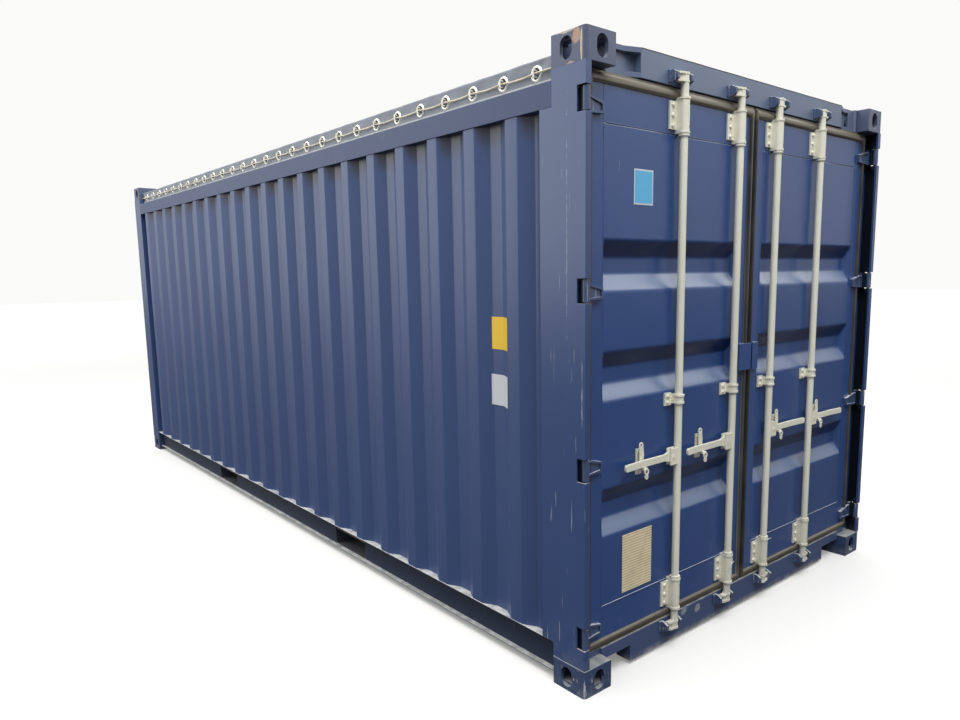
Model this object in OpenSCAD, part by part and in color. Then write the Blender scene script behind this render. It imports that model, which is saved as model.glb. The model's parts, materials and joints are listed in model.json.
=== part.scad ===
// Twenty-foot open-top shipping container with a laced tarpaulin roof and double end doors.
// X runs along the length with the doors at +X, Z is up, and the origin is the middle of the
// rectangle under the four bottom castings.

/* [Overall] */
// Length over the corner castings
box_len = 6058; // [5000:1:9200]
// Width over the corner castings
box_wid = 2438; // [2300:1:2600]
// Height over the corner castings
box_hgt = 2591; // [2400:1:2900]

/* [Corner castings] */
// Casting size along the container
cast_len = 178; // [170:0.5:190]
// Casting size across the container
cast_wid = 162; // [155:0.5:175]
// Casting height
cast_hgt = 118; // [112:0.5:125]
// Thickness of the wall with the twist-lock slot
cast_skin = 28; // [22:0.5:30]
// Thickness of the other walls
cast_wall = 16; // [12:0.5:18]
// Radius of the upright outer edge
cast_edge_r = 14; // [8:0.5:18]
// Twist-lock slot, end to end
lock_slot_len = 124; // [118:0.5:128]
// Twist-lock slot width
lock_slot_wid = 63.5; // [58:0.5:66]
// Twist-lock slot centre from the end face
lock_slot_end = 101.5; // [98:0.5:104]
// Twist-lock slot centre from the side face
lock_slot_side = 89; // [84:0.5:92]
// Height of the upright slots in the side and end faces
face_slot_hgt = 84; // [76:0.5:88]
// Width of the upright slots
face_slot_wid = 61; // [48:0.5:64]

/* [Posts] */
// Width of the rear post seen from the side
post_side = 244; // [200:1:280]
// Thickness of the rear post's outer web
post_web = 10; // [6:0.5:12]
// Width of the rear post seen from the door end
post_lip = 30; // [26:0.5:34]
// Thickness of that front flange
post_lip_t = 12; // [8:0.5:14]
// Depth of the open channel in the rear post
post_channel = 104; // [96:1:112]
// Inward width of the closed part of the rear post
post_box = 64; // [50:1:66]
// Plate thickness of the pressed sections
press_t = 6; // [4:0.5:8]
// Width of the front post across the container
front_post_wid = 88; // [60:1:110]

/* [Bottom frame] */
// Top of the bottom side rail
rail_top_z = 185; // [176:1:200]
// Underside of the bottom side rail
rail_low_z = 36; // [20:1:50]
// Width of the rail's top flange
rail_flange = 48; // [40:0.5:56]
// Width of the rail's bottom flange
rail_foot = 30; // [20:0.5:40]
// Steel thickness of the rail
rail_t = 4.5; // [3:0.5:6]
// Underside of the sills and cross members
under_z = 17; // [12:0.5:24]
// Length of the notch in a sill beside its casting
notch_len = 187; // [150:1:220]
// Height of that notch
notch_hgt = 75; // [60:1:80]
// Height of a cross member
cross_hgt = 122; // [110:1:126]
// Flange width of a cross member
cross_flange = 42; // [30:1:50]
// Steel thickness of a cross member
cross_t = 4; // [3:0.5:6]
// Floor board thickness
floor_t = 28; // [18:0.5:32]
// Fork pocket width
pocket_wid = 360; // [305:1:380]
// Fork pocket height
pocket_hgt = 115; // [100:1:118]
// Distance between the middles of the two pockets
pocket_pitch = 2050; // [1500:1:2300]
// Cross members on the length
cross_count = 18; // [14:1:22]

/* [Side and end walls] */
// Depth of the side wall's corrugation
wave_depth = 36; // [24:0.5:42]
// Flat of the wave on the outside
wave_out = 72; // [50:0.5:90]
// Flat of the wave on the inside
wave_in = 70.5; // [50:0.5:90]
// Length of one slope of the wave
wave_slope = 68; // [40:0.5:80]
// Sheet thickness of the walls
sheet_t = 2; // [1.5:0.1:3]
// Set-back of the wall from the side face
wall_inset = 4; // [2:0.5:8]
// Shortest flat at each end of a side wall
wave_end = 30; // [20:1:60]
// Depth of the front end wall's corrugation
end_wave_depth = 45; // [30:0.5:50]
// Waves on the front end wall
end_wave_count = 8; // [6:1:9]

/* [Top frame] */
// Underside of the top side rail below the top of the castings
top_rail_drop = 255; // [220:1:300]
// Height of the rail's outer face
top_rail_hgt = 98; // [70:1:110]
// Width of the rail
top_rail_wid = 60; // [50:1:70]
// Steel thickness of the rail
top_rail_t = 4; // [3:0.5:6]
// Height of the upstand that carries the roof
upstand_hgt = 104; // [80:1:110]
// Thickness of the upstand
upstand_t = 14; // [8:0.5:20]
// Depth of the end headers along the container
header_deep = 80; // [60:1:90]
// Set-back of the door header and sill from the end face
header_inset = 54; // [50:0.5:58]
// Depth of the front sill
front_deep = 60; // [50:1:80]
// Half length of the header's full face
header_half = 846; // [780:1:900]
// Steel thickness of the headers and sills
header_t = 5; // [4:0.5:8]

/* [Doors] */
// Set-back of the door's outer face from the end face
leaf_inset = 62; // [60:0.5:66]
// Depth of the door frame
leaf_deep = 50; // [40:1:54]
// Running gap round the seals
seal_gap = 5; // [4:0.5:8]
// Width of the seal outside the frame
seal_lip = 20; // [14:0.5:24]
// Width of the seal over the face of the frame
seal_face = 32; // [20:0.5:40]
// Width of the seal over the face of the hinge stile
seal_stile = 16; // [12:0.5:30]
// How far the seal stands out from the door's face
seal_proud = 12; // [6:0.5:13]
// Half gap between the two doors
door_gap = 6; // [5:0.5:10]
// Top and bottom rails of the door frame
leaf_rail = 152; // [120:1:170]
// Hinge stile of the door frame
leaf_stile = 75; // [60:1:100]
// Meeting stile of the door frame
leaf_meet = 76; // [60:1:100]
// Troughs pressed in each door sheet, heights of their middles
trough_z = [729, 1298, 1742]; // [600:1:2000]
// Flat of a trough
trough_flat = 66; // [40:1:90]
// Height of one slope of a trough
trough_slope = 69; // [40:1:80]
// Depth of a trough
trough_deep = 36; // [20:1:40]
// Middle height of the plates over the joint of the doors
meet_z = 1301; // [1200:1:1400]
// Height of these plates
meet_hgt = 130; // [100:1:160]
// Reach of the left door's plate from the joint
meet_left = 106; // [80:1:120]
// Reach of the right door's plate from the joint
meet_right = 51; // [45:1:56]

/* [Hinges] */
// Hinges on a door
hinge_count = 4; // [3:1:5]
// Middle of the lowest hinge
hinge_low_z = 254; // [240:1:300]
// Middle of the highest hinge below the top of the castings
hinge_drop = 248; // [230:1:300]
// Pin centre from the end face
pin_end = 15; // [14.5:0.5:16]
// Pin centre from the side face
pin_side = 20; // [16:0.5:22]
// Pin radius
pin_r = 9; // [7:0.5:10]
// Knuckle radius
knuckle_r = 14; // [12.5:0.5:14.5]
// Knuckle height
knuckle_hgt = 84; // [60:1:100]
// Hinge blade, how far it reaches from the side face
blade_reach = 150; // [130:1:160]
// Hinge blade thickness between its ribs
blade_t = 10; // [8:0.5:12]
// Hinge blade thickness at its rim
blade_rib_t = 17; // [14:0.5:17]
// Width of that rim
blade_rim = 9; // [6:0.5:12]
// Height of the blade at its far end
blade_tip = 42; // [34:1:60]

/* [Locking gear] */
// Lock bar pipe radius
bar_r = 17; // [14:0.5:19]
// Bar axis in front of the door's face
bar_out = 32; // [28:0.5:34]
// Outer lock bars from the middle
bar_outer = 590; // [520:1:700]
// Inner lock bars from the middle
bar_inner = 165; // [140:1:220]
// Height of a bar's upper and lower bearing
guide_hgt = 146; // [100:1:160]
// Bearing's distance from the edge of the door
guide_edge = 18; // [10:1:30]
// Wall thickness of a bearing
guide_wall = 5; // [4:0.5:6]
// Width of a bearing's bolting plate
guide_plate = 44; // [36:1:50]
// Middle height of a bar's middle bearing
guide_mid_z = 1160; // [1100:1:1300]
// Height of the middle bearing
guide_mid_hgt = 40; // [30:1:60]
// Middle of the upper cam below the top of the castings
cam_drop = 83; // [62:1:86]
// Middle height of the lower cam
cam_low_z = 112; // [90:1:116]
// Cam height
cam_hgt = 40; // [28:1:44]
// Cam nose, from the bar's axis
cam_reach = 50; // [40:0.5:56]
// Handle height
handle_z = 908; // [800:1:1100]
// Handle length from the bar's axis
handle_len = 360; // [300:1:380]
// Handle height at its root
handle_hgt = 44; // [36:0.5:48]
// Handle height at its tip
handle_tip = 30; // [24:0.5:36]
// How far the handle's tip is bent outward
handle_bend = 8; // [0:0.5:9]
// Handle bar thickness
handle_t = 12; // [8:0.5:14]
// Handle pivot from the bar's axis
handle_pivot = 42; // [42:0.5:48]
// Height of the fork that holds the handle
fork_hgt = 74; // [60:1:80]
// Catch from the bar's axis on the left door
catch_left = 235; // [200:1:260]
// Catch from the bar's axis on the right door
catch_right = 108; // [100:1:140]
// Catch pivot height above the handle's middle
catch_up = 52; // [48:0.5:60]

/* [Roof] */
// Rise of the roof across the container
roof_rise = 42; // [20:1:45]
// Tarpaulin thickness
tarp_t = 3; // [2:0.5:4]
// Lower edge of the tarpaulin's skirt above the rail
tarp_hem = 12; // [6:1:20]
// Number of roof bows
bow_count = 9; // [6:1:12]
// First bow from the end of the rail
bow_end = 260; // [200:1:400]
// Bow size along the container
bow_len = 40; // [30:1:60]
// Bow size up and down
bow_hgt = 28; // [20:1:36]
// Pitch of the staples that the tarpaulin is laced to
staple_pitch = 202; // [180:1:260]
// Free end of the rail before the first staple
staple_end = 100; // [60:1:200]
// Height of the lacing above the rail's top
lace_up = 54; // [30:1:70]
// Radius of the lacing cable
cable_r = 4; // [3:0.5:5]

/* [Hidden] */
$fn = 48;
seat = 0.3;
fit = 0.1;
clear = 5;
blue = "#26386b";
zinc = "#c9c6b4";
xe = box_len / 2;
ye = box_wid / 2;
sheet_edge = xe - cast_len;
rail_end = xe - cast_len;
top_rail_z = box_hgt - top_rail_drop;
front_head_z = top_rail_z + top_rail_hgt - 14;
rail_crown = top_rail_z + top_rail_hgt;
eave_z = rail_crown + upstand_hgt;
floor_z = under_z + 1 + cross_hgt;
floor_top = floor_z + floor_t;
web_in = rail_flange;
deck_half = ye - web_in - seat;
header_x = xe - header_inset;
header_back = header_x - header_deep;
head_z = box_hgt - cast_hgt + 1;
header_top = box_hgt - 3;
front_x = xe - 6;
sill_top = floor_z + 4;
leaf_x = xe - leaf_inset;
leaf_back = leaf_x - leaf_deep;
seal_side = ye - post_box - seal_gap;
seal_low = sill_top + seal_gap;
seal_high = head_z - seal_gap;
leaf_side = seal_side - seal_lip;
leaf_low = seal_low + seal_lip;
leaf_high = seal_high - seal_lip;
leaf_mid = door_gap + 8;
panel_side = leaf_side - leaf_stile;
panel_mid = leaf_mid + leaf_meet;
panel_low = leaf_low + leaf_rail + 4;
panel_high = leaf_high - leaf_rail - 13;
pin_x = xe - pin_end;
pin_y = ye - pin_side;
bar_x = leaf_x + bar_out;
handle_x = bar_x - handle_t / 2 - 2;
rivet_r = 6;
catch_t = 4;
catch_pin = 4;
catch_x = handle_x - clear - catch_t;
hinge_high_z = box_hgt - hinge_drop;
hinge_z = [for (i = [0 : hinge_count - 1])
    hinge_low_z + i * (hinge_high_z - hinge_low_z) / (hinge_count - 1)];
cam_high_z = box_hgt - cam_drop;
bar_y = [-bar_outer, -bar_inner, bar_inner, bar_outer];
// 1 on the left door, whose handles point left, and -1 on the right door
bar_side = [-1, -1, 1, 1];
catch_far = [catch_left, catch_left, catch_right, catch_right];
wave_pitch = wave_out + wave_in + 2 * wave_slope;
wall_len = xe - post_side + sheet_edge;
wave_count = floor((wall_len + wave_in - 2 * wave_end) / wave_pitch);
lace_z = rail_crown + lace_up;
lace_y = ye - top_rail_wid + upstand_t + tarp_t + 12;
staple_t = 5;
staple_y = lace_y + cable_r + seat + staple_t;
staple_count = floor(2 * (rail_end - staple_end) / staple_pitch) + 1;
staple_x = [for (i = [0 : staple_count - 1]) (i - (staple_count - 1) / 2) * staple_pitch];
tarp_in = ye - top_rail_wid + upstand_t + seat;
tarp_end = rail_end - 4;

// Height of the roof's underside at a place across the container
function camber(y) = eave_z + seat + roof_rise * (1 - pow(y / tarp_in, 2));

// Same thing on both sides of the container
module both_sides() {
    for (s = [0, 1]) mirror([0, s, 0]) children();
}

// Long hole with round ends, lying along its first direction
module obround(long, wide) {
    for (s = [-1, 1]) translate([s * (long - wide) / 2, 0]) circle(d = wide);
    square([long - wide, wide], center = true);
}

// Corner casting at +X -Y, its slotted wall below
module casting() {
    difference() {
        translate([sheet_edge, -ye, 0]) linear_extrude(cast_hgt) difference() {
            square([cast_len, cast_wid]);
            translate([cast_len - cast_edge_r, 0]) difference() {
                translate([0, -1]) square([cast_edge_r + 1, cast_edge_r + 1]);
                translate([0, cast_edge_r]) circle(r = cast_edge_r);
            }
        }
        translate([sheet_edge + cast_wall, -ye + cast_wall, cast_skin])
            cube([cast_len - 2 * cast_wall, cast_wid - 2 * cast_wall, cast_hgt - cast_skin - cast_wall]);
        translate([xe - lock_slot_end, -ye + lock_slot_side, -1])
            linear_extrude(cast_skin + 2) obround(lock_slot_len, lock_slot_wid);
        translate([xe - lock_slot_end, -ye - 1, cast_hgt / 2]) rotate([-90, 0, 0]) rotate(90)
            linear_extrude(cast_wall + 2) obround(face_slot_hgt, face_slot_wid);
        translate([xe - cast_wall - 1, -ye + lock_slot_side, cast_hgt / 2]) rotate([0, 90, 0])
            linear_extrude(cast_wall + 2) obround(face_slot_hgt, face_slot_wid);
    }
}

module four_castings() {
    for (s = [0, 1]) mirror([s, 0, 0]) both_sides() casting();
}

module bottom_castings() {
    color(blue) four_castings();
}

module top_castings() {
    color(blue) translate([0, 0, box_hgt]) mirror([0, 0, 1]) four_castings();
}

// Rear post: an outer channel that the hinge pins stand in, and a pressed box behind it
module rear_post() {
    low = cast_hgt;
    high = box_hgt - cast_hgt;
    cut_hgt = knuckle_hgt + 10;
    difference() {
        union() {
            translate([xe, -ye, low]) linear_extrude(high - low) mirror([1, 0]) post_section();
            for (z = hinge_z, s = [-1, 1])
                translate([xe - 2 * pin_end, -ye, z + s * (cut_hgt / 2 + 12) - 12])
                    cube([2 * pin_end, post_lip, 24]);
        }
        for (z = hinge_z) translate([xe - 44, -ye - 1, z - cut_hgt / 2])
            cube([45, post_lip + 2, cut_hgt]);
        translate([xe - post_side - 1, -ye - 1, top_rail_z])
            cube([post_side - cast_len + 1, post_box + 2, high]);
        translate([xe - post_side - 1, -ye - 1, 0])
            cube([post_side - cast_len + 1, post_box + 2, rail_top_z]);
    }
    for (z = hinge_z) translate([pin_x, -pin_y, z - cut_hgt / 2 - 12])
        cylinder(r = pin_r, h = cut_hgt + 24);
}

module post_section() {
    square([post_side, post_web]);
    square([post_lip_t, post_lip]);
    difference() {
        translate([post_channel, 0]) square([post_side - post_channel, post_box]);
        translate([post_channel + press_t, post_web])
            square([post_side - post_channel - 2 * press_t, post_box - post_web - press_t]);
    }
}

module rear_post_left() {
    color(blue) rear_post();
}

module rear_post_right() {
    color(blue) mirror([0, 1, 0]) rear_post();
}

// Front posts: closed pressed sections between the castings
module front_posts() {
    color(blue) both_sides() translate([-xe, -ye, cast_hgt])
        linear_extrude(box_hgt - 2 * cast_hgt) difference() {
            square([cast_len, front_post_wid]);
            translate([press_t, press_t])
                square([cast_len - 2 * press_t, front_post_wid - 2 * press_t]);
        }
}

// Bottom side rail: a channel that opens outward, cut through at the fork pockets
module bottom_rail() {
    difference() {
        translate([-rail_end, -ye, 0]) rotate([90, 0, 90]) linear_extrude(2 * rail_end) {
            translate([0, rail_top_z - rail_t]) square([rail_flange, rail_t]);
            translate([rail_flange - rail_t, rail_low_z])
                square([rail_t, rail_top_z - rail_low_z]);
            translate([rail_flange - rail_foot, rail_low_z]) square([rail_foot, rail_t]);
        }
        for (s = [-1, 1])
            translate([s * pocket_pitch / 2 - pocket_wid / 2, -ye, rail_low_z + rail_t])
                cube([pocket_wid, rail_flange + 1, pocket_hgt]);
    }
}

module bottom_rail_left() {
    color(blue) bottom_rail();
}

module bottom_rail_right() {
    color(blue) mirror([0, 1, 0]) bottom_rail();
}

// Top side rail: a box with an upstand on its inner edge
module top_rail() {
    translate([-rail_end, -ye, top_rail_z]) rotate([90, 0, 90]) linear_extrude(2 * rail_end) {
        difference() {
            square([top_rail_wid, top_rail_hgt]);
            translate([top_rail_t, top_rail_t])
                square([top_rail_wid - 2 * top_rail_t, top_rail_hgt - 2 * top_rail_t]);
        }
        translate([top_rail_wid - upstand_t, top_rail_hgt]) square([upstand_t, upstand_hgt]);
    }
}

module top_rail_left() {
    color(blue) top_rail();
}

module top_rail_right() {
    color(blue) mirror([0, 1, 0]) top_rail();
}

// Outline of a sheet pressed into waves along its length, with a flat at each end
function wave_line(length, count, depth, out, slope, flat_in) =
    let (pitch = out + flat_in + 2 * slope, first = (length - count * pitch + flat_in) / 2)
    concat([[0, 0]],
        [for (i = [0 : count - 1]) each let (a = first + i * pitch + slope) [
            [a - slope, 0], [a, -depth], [a + out, -depth], [a + out + slope, 0]]],
        [[length, 0]]);

module wave_sheet(length, height, count, depth, out, slope, flat_in) {
    line = wave_line(length, count, depth, out, slope, flat_in);
    back = [for (i = [len(line) - 1 : -1 : 0]) line[i] + [0, sheet_t]];
    linear_extrude(height) polygon(concat(line, back));
}

// Side wall: the inner flats lie a wave's depth behind the outer ones
module side_wall() {
    translate([-sheet_edge, -ye + wall_inset + wave_depth, rail_top_z])
        wave_sheet(wall_len, top_rail_z - rail_top_z, wave_count, wave_depth, wave_out, wave_slope, wave_in);
}

module side_wall_left() {
    color(blue) side_wall();
}

module side_wall_right() {
    color(blue) mirror([0, 1, 0]) side_wall();
}

module front_end_wall() {
    width = box_wid - 2 * front_post_wid;
    pitch = width / (end_wave_count + 0.3);
    color(blue) translate([-xe + 12 + end_wave_depth, width / 2, sill_top]) rotate(-90)
        wave_sheet(width, front_head_z - sill_top, end_wave_count, end_wave_depth,
            pitch * 0.3, pitch * 0.2, pitch * 0.3);
}

// Front header: a beam whose top follows the roof
module front_header() {
    half = ye - cast_wid;
    color(blue) translate([-xe + 6, 0, 0]) rotate([90, 0, 90]) linear_extrude(header_deep)
        polygon(concat([[half, front_head_z], [-half, front_head_z]],
            [for (i = [0 : 16]) let (y = -half + i * half / 8) [y, camber(y) - seat]]));
}

// Sill with notches beside both castings, carried on over them as far as the posts
module sill(face_x, deep, reach) {
    half = ye - cast_wid;
    inner = half - notch_len;
    notch_top = under_z + notch_hgt;
    difference() {
        translate([face_x - deep, 0, 0]) rotate([90, 0, 90]) linear_extrude(deep)
            polygon([[-half, sill_top], [-half, notch_top], [-inner, notch_top], [-inner, under_z],
                [inner, under_z], [inner, notch_top], [half, notch_top], [half, sill_top]]);
        translate([face_x - deep + header_t, -inner + header_t, under_z + header_t])
            cube([deep - 2 * header_t, 2 * (inner - header_t), sill_top - under_z - 2 * header_t]);
    }
    both_sides() translate([face_x - deep, -reach, cast_hgt])
        cube([deep - 10, reach - half + header_t, sill_top - cast_hgt]);
}

module front_sill() {
    color(blue) mirror([1, 0, 0]) sill(front_x, front_deep, ye - front_post_wid);
}

module door_sill() {
    color(blue) {
        sill(header_x, header_deep, ye - post_box);
        translate([header_back - 6, -ye + cast_wid, sill_top])
            cube([20, box_wid - 2 * cast_wid, floor_top - sill_top]);
    }
}

// Door header: a box that lifts out of the brackets at its ends
module door_header() {
    tongue = ye - cast_wid - 95;
    tall = header_top - head_z;
    edge = 24;
    color(blue) {
        difference() {
            translate([header_back, -header_half, head_z]) cube([header_deep, 2 * header_half, tall]);
            translate([header_back + header_t, -header_half + header_t, head_z + header_t])
                cube([header_deep - 2 * header_t, 2 * header_half - 2 * header_t, tall - 2 * header_t]);
        }
        both_sides() translate([header_back + 10, -tongue, head_z + edge])
            cube([header_deep - 50, tongue - header_half, tall - 2 * edge]);
    }
}

// Brackets on the castings' inner faces: two plates, a lug, and the pin that holds the header
module header_brackets() {
    out = ye - cast_wid;
    long = out - header_half - seat;
    tall = header_top - head_z;
    plate = 20;
    lug = 26;
    cheek = 8;
    set_back = 26;
    color(blue) both_sides() translate([header_x, -out, head_z]) {
        for (z = [0, tall - plate]) translate([0, 0, z]) linear_extrude(plate)
            polygon([[-header_deep, 0], [-set_back, 0], [-set_back, long - 75], [0, long],
                [-header_deep, long]]);
        translate([-header_deep, 0, 0]) cube([header_deep - set_back - 8, lug, tall]);
        translate([-set_back - cheek, 0, 0]) cube([cheek, 3 * lug, tall]);
        translate([-set_back + 3, lug / 2, 0]) cylinder(r = 12, h = tall + 2);
    }
}

// Cross members: channels on edge, kept clear of the fork pockets
module cross_members() {
    span = 2 * (sheet_edge - 36);
    near = pocket_wid / 2 + press_t + cross_flange / 2 + clear;
    color(blue) for (i = [0 : cross_count - 1]) {
        x = -span / 2 + i * span / (cross_count - 1);
        off = abs(abs(x) - pocket_pitch / 2);
        if (off > near) translate([x - cross_flange / 2, deck_half, under_z + 1]) rotate([90, 0, 0])
            linear_extrude(2 * deck_half) difference() {
                square([cross_flange, cross_hgt]);
                translate([cross_t, cross_t]) square([cross_flange, cross_hgt - 2 * cross_t]);
            }
    }
}

// Fork pockets: tunnels of plate across the container, strapped below at each end
module fork_pockets() {
    low = rail_low_z;
    top = rail_low_z + rail_t + pocket_hgt;
    strap = 200;
    color(blue) for (s = [-1, 1]) translate([s * pocket_pitch / 2, 0, 0]) {
        for (e = [-1, 1]) translate([e * (pocket_wid + press_t) / 2 - press_t / 2, -deck_half, low])
            cube([press_t, 2 * deck_half, floor_z - low]);
        translate([-pocket_wid / 2 - press_t, -deck_half, floor_z - 4])
            cube([pocket_wid + 2 * press_t, 2 * deck_half, 4]);
        both_sides() translate([-pocket_wid / 2 - press_t, -deck_half, low])
            cube([pocket_wid + 2 * press_t, strap, rail_t]);
    }
}

// Floor boards, narrower between the posts at both ends
module floor_boards() {
    front = -(front_x - front_deep) + seat;
    rear = header_back - 6 - seat;
    color("#6d5338") translate([0, 0, floor_z]) {
        deck(-sheet_edge + seat, xe - post_side - seat, deck_half);
        deck(front, -sheet_edge + 1, ye - front_post_wid - seat);
        deck(xe - post_side - 1, rear, ye - post_box - seat);
    }
}

module deck(from, to, half) {
    translate([from, -half, 0]) cube([to - from, 2 * half, floor_t]);
}

// Tarpaulin: a cambered sheet with a skirt down each long side and at the front
module tarp_cover() {
    steps = 24;
    half = tarp_in + tarp_t;
    short = ye - cast_wid - 6;
    inner = [for (i = [0 : steps]) let (y = -tarp_in + 2 * i * tarp_in / steps) [y, camber(y)]];
    outer = [for (i = [steps : -1 : 0]) let (y = -half + 2 * i * half / steps)
        [y, camber(y * tarp_in / half) + tarp_t]];
    color("#6f7f93") {
        translate([-tarp_end, 0, 0]) rotate([90, 0, 90]) linear_extrude(2 * tarp_end) {
            polygon(concat(inner, outer));
        }
        difference() {
            both_sides() translate([-tarp_end, -half, rail_crown + tarp_hem])
                cube([2 * tarp_end, tarp_t, camber(tarp_in) - rail_crown - tarp_hem + tarp_t]);
            for (x = staple_x) translate([x - 9, -half - 1, lace_z - 18])
                cube([18, 2 * half + 2, 36]);
        }
        translate([-xe + 2, 0, 0]) rotate([90, 0, 90])
            linear_extrude(xe - 2 + header_back - seat) intersection() {
                polygon(concat(inner, outer));
                translate([-short, 0]) square([2 * short, box_hgt]);
            }
        translate([-xe + 2, 0, 0]) rotate([90, 0, 90]) linear_extrude(tarp_t)
            polygon(concat([[short, rail_crown + 20], [-short, rail_crown + 20]],
                [for (i = [0 : 16]) let (y = -short + i * short / 8) [y, camber(y) + 1]]));
    }
}

module both_sides_2d() {
    for (s = [0, 1]) mirror([s, 0]) children();
}

// Roof bows: cambered bars hooked inside the upstands
module roof_bows() {
    reach = ye - top_rail_wid;
    span = 2 * (rail_end - bow_end);
    color(zinc) for (b = [0 : bow_count - 1])
        translate([-span / 2 + b * span / (bow_count - 1) - bow_len / 2, 0, 0]) rotate([90, 0, 90])
            linear_extrude(bow_len) {
                polygon(concat(
                    [for (i = [0 : 20]) let (y = -reach + i * reach / 10) [y, camber(y) - seat]],
                    [for (i = [20 : -1 : 0]) let (y = -reach + i * reach / 10)
                        [y, camber(y) - seat - bow_hgt]]));
                both_sides_2d() translate([-reach, rail_crown + 6])
                    square([20, camber(reach) - rail_crown - 12]);
            }
}

// Cable that laces the tarpaulin, run straight through the staples
module lacing_cable() {
    color("#cfc8ae") both_sides() translate([-tarp_end, -lace_y, lace_z]) rotate([0, 90, 0])
        cylinder(r = cable_r, h = 2 * tarp_end);
}

// Staples on the upstand that stand out through the eyelets
module cable_staples() {
    deep = staple_y - (ye - top_rail_wid + upstand_t);
    color(zinc) both_sides() for (x = staple_x)
        translate([x - 3, -staple_y, lace_z - 15]) difference() {
            cube([6, deep, 30]);
            translate([-1, staple_t, staple_t]) cube([8, deep, 30 - 2 * staple_t]);
        }
}

// Keepers on the header and the sill, a base with a lug on both sides of each cam
module cam_keepers() {
    lug = 14;
    near = bar_r + 2 * clear;
    far = cam_reach + 7;
    tall = 50;
    foot = 12;
    deep = bar_x - header_x + 16;
    color(blue) for (i = [0 : 3], z = [cam_low_z, cam_high_z])
        translate([header_x, bar_y[i], z]) mirror([0, bar_side[i] > 0 ? 0 : 1, 0]) {
            for (y = [-near - lug - foot, far])
                translate([0, y, -tall / 2]) cube([6, lug + foot, tall]);
            for (y = [-near - lug, far]) translate([0, y + lug, 0]) rotate([90, 0, 0])
                linear_extrude(lug) polygon([[0, -tall / 2], [deep - 22, -tall / 2], [deep, -12],
                    [deep, 12], [deep - 22, tall / 2], [0, tall / 2]]);
        }
}

// Door frame, left door
module door_frame() {
    color(blue) difference() {
        translate([leaf_back, -leaf_side, leaf_low])
            cube([leaf_deep, leaf_side - leaf_mid, leaf_high - leaf_low]);
        translate([leaf_back - 1, -panel_side, panel_low])
            cube([leaf_deep + 2, panel_side - panel_mid, panel_high - panel_low]);
        for (z = [[leaf_low + 4, panel_low - 4], [panel_high + 4, leaf_high - 4]])
            translate([leaf_back - 1, -panel_side, z[0]])
                cube([leaf_deep - 3, panel_side - panel_mid, z[1] - z[0]]);
    }
}

// Plate over the joint of the doors, one half on each door
module meeting_plate(reach) {
    foot = 16;
    lift = 21;
    far = door_gap + min(reach, 68);
    color(blue) translate([leaf_x, 0, meet_z - meet_hgt / 2]) {
        translate([lift, -door_gap - reach, 0]) cube([6, reach, meet_hgt]);
        translate([-1, -far, 0]) cube([lift + 2, foot, meet_hgt]);
    }
}

module left_door_frame() {
    door_frame();
    meeting_plate(meet_left);
}

module right_door_frame() {
    mirror([0, 1, 0]) {
        door_frame();
        meeting_plate(meet_right);
    }
}

// Door sheet with its pressed troughs, as a profile run across the door
function trough_line() = concat([[0, panel_low]],
    [for (z = trough_z) each [
        [0, z - trough_flat / 2 - trough_slope], [-trough_deep, z - trough_flat / 2],
        [-trough_deep, z + trough_flat / 2], [0, z + trough_flat / 2 + trough_slope]]],
    [[0, panel_high]]);

module door_panel() {
    line = trough_line();
    back = [for (i = [len(line) - 1 : -1 : 0]) line[i] - [sheet_t, 0]];
    color(blue) translate([leaf_x, -panel_mid, 0]) rotate([90, 0, 0])
        linear_extrude(panel_side - panel_mid) polygon(concat(line, back));
}

module left_door_panel() {
    door_panel();
}

module right_door_panel() {
    mirror([0, 1, 0]) door_panel();
}

// Seal round the door: a lip outside the frame and a strip over its face
module seal_ring(out, mid, low, high, wide, side_wide, mid_wide, deep) {
    rotate([90, 0, 90]) linear_extrude(deep) difference() {
        translate([-out, low]) square([out - mid, high - low]);
        translate([-out + side_wide, low + wide])
            square([out - mid - side_wide - mid_wide, high - low - 2 * wide]);
    }
}

module door_seal(mid_face) {
    color("#5a574c") difference() {
        seal_rings(mid_face);
        for (z = hinge_z) translate([leaf_x, -seal_side, z - knuckle_hgt / 2 - seat])
            cube([seal_proud + 1, seal_stile + 20, knuckle_hgt + 2 * seat]);
    }
}

module seal_rings(mid_face) {
    union() {
        translate([leaf_x - leaf_deep + 4, 0, 0])
            seal_ring(seal_side, door_gap, seal_low, seal_high, seal_lip, seal_lip,
                leaf_mid - door_gap, leaf_deep - 4);
        translate([leaf_x, 0, 0])
            seal_ring(seal_side - seal_lip / 2, door_gap, seal_low, seal_high, seal_face + 4,
                seal_stile, mid_face, seal_proud);
    }
}

module left_door_seal() {
    door_seal(39);
}

module right_door_seal() {
    mirror([0, 1, 0]) door_seal(12);
}

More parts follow.
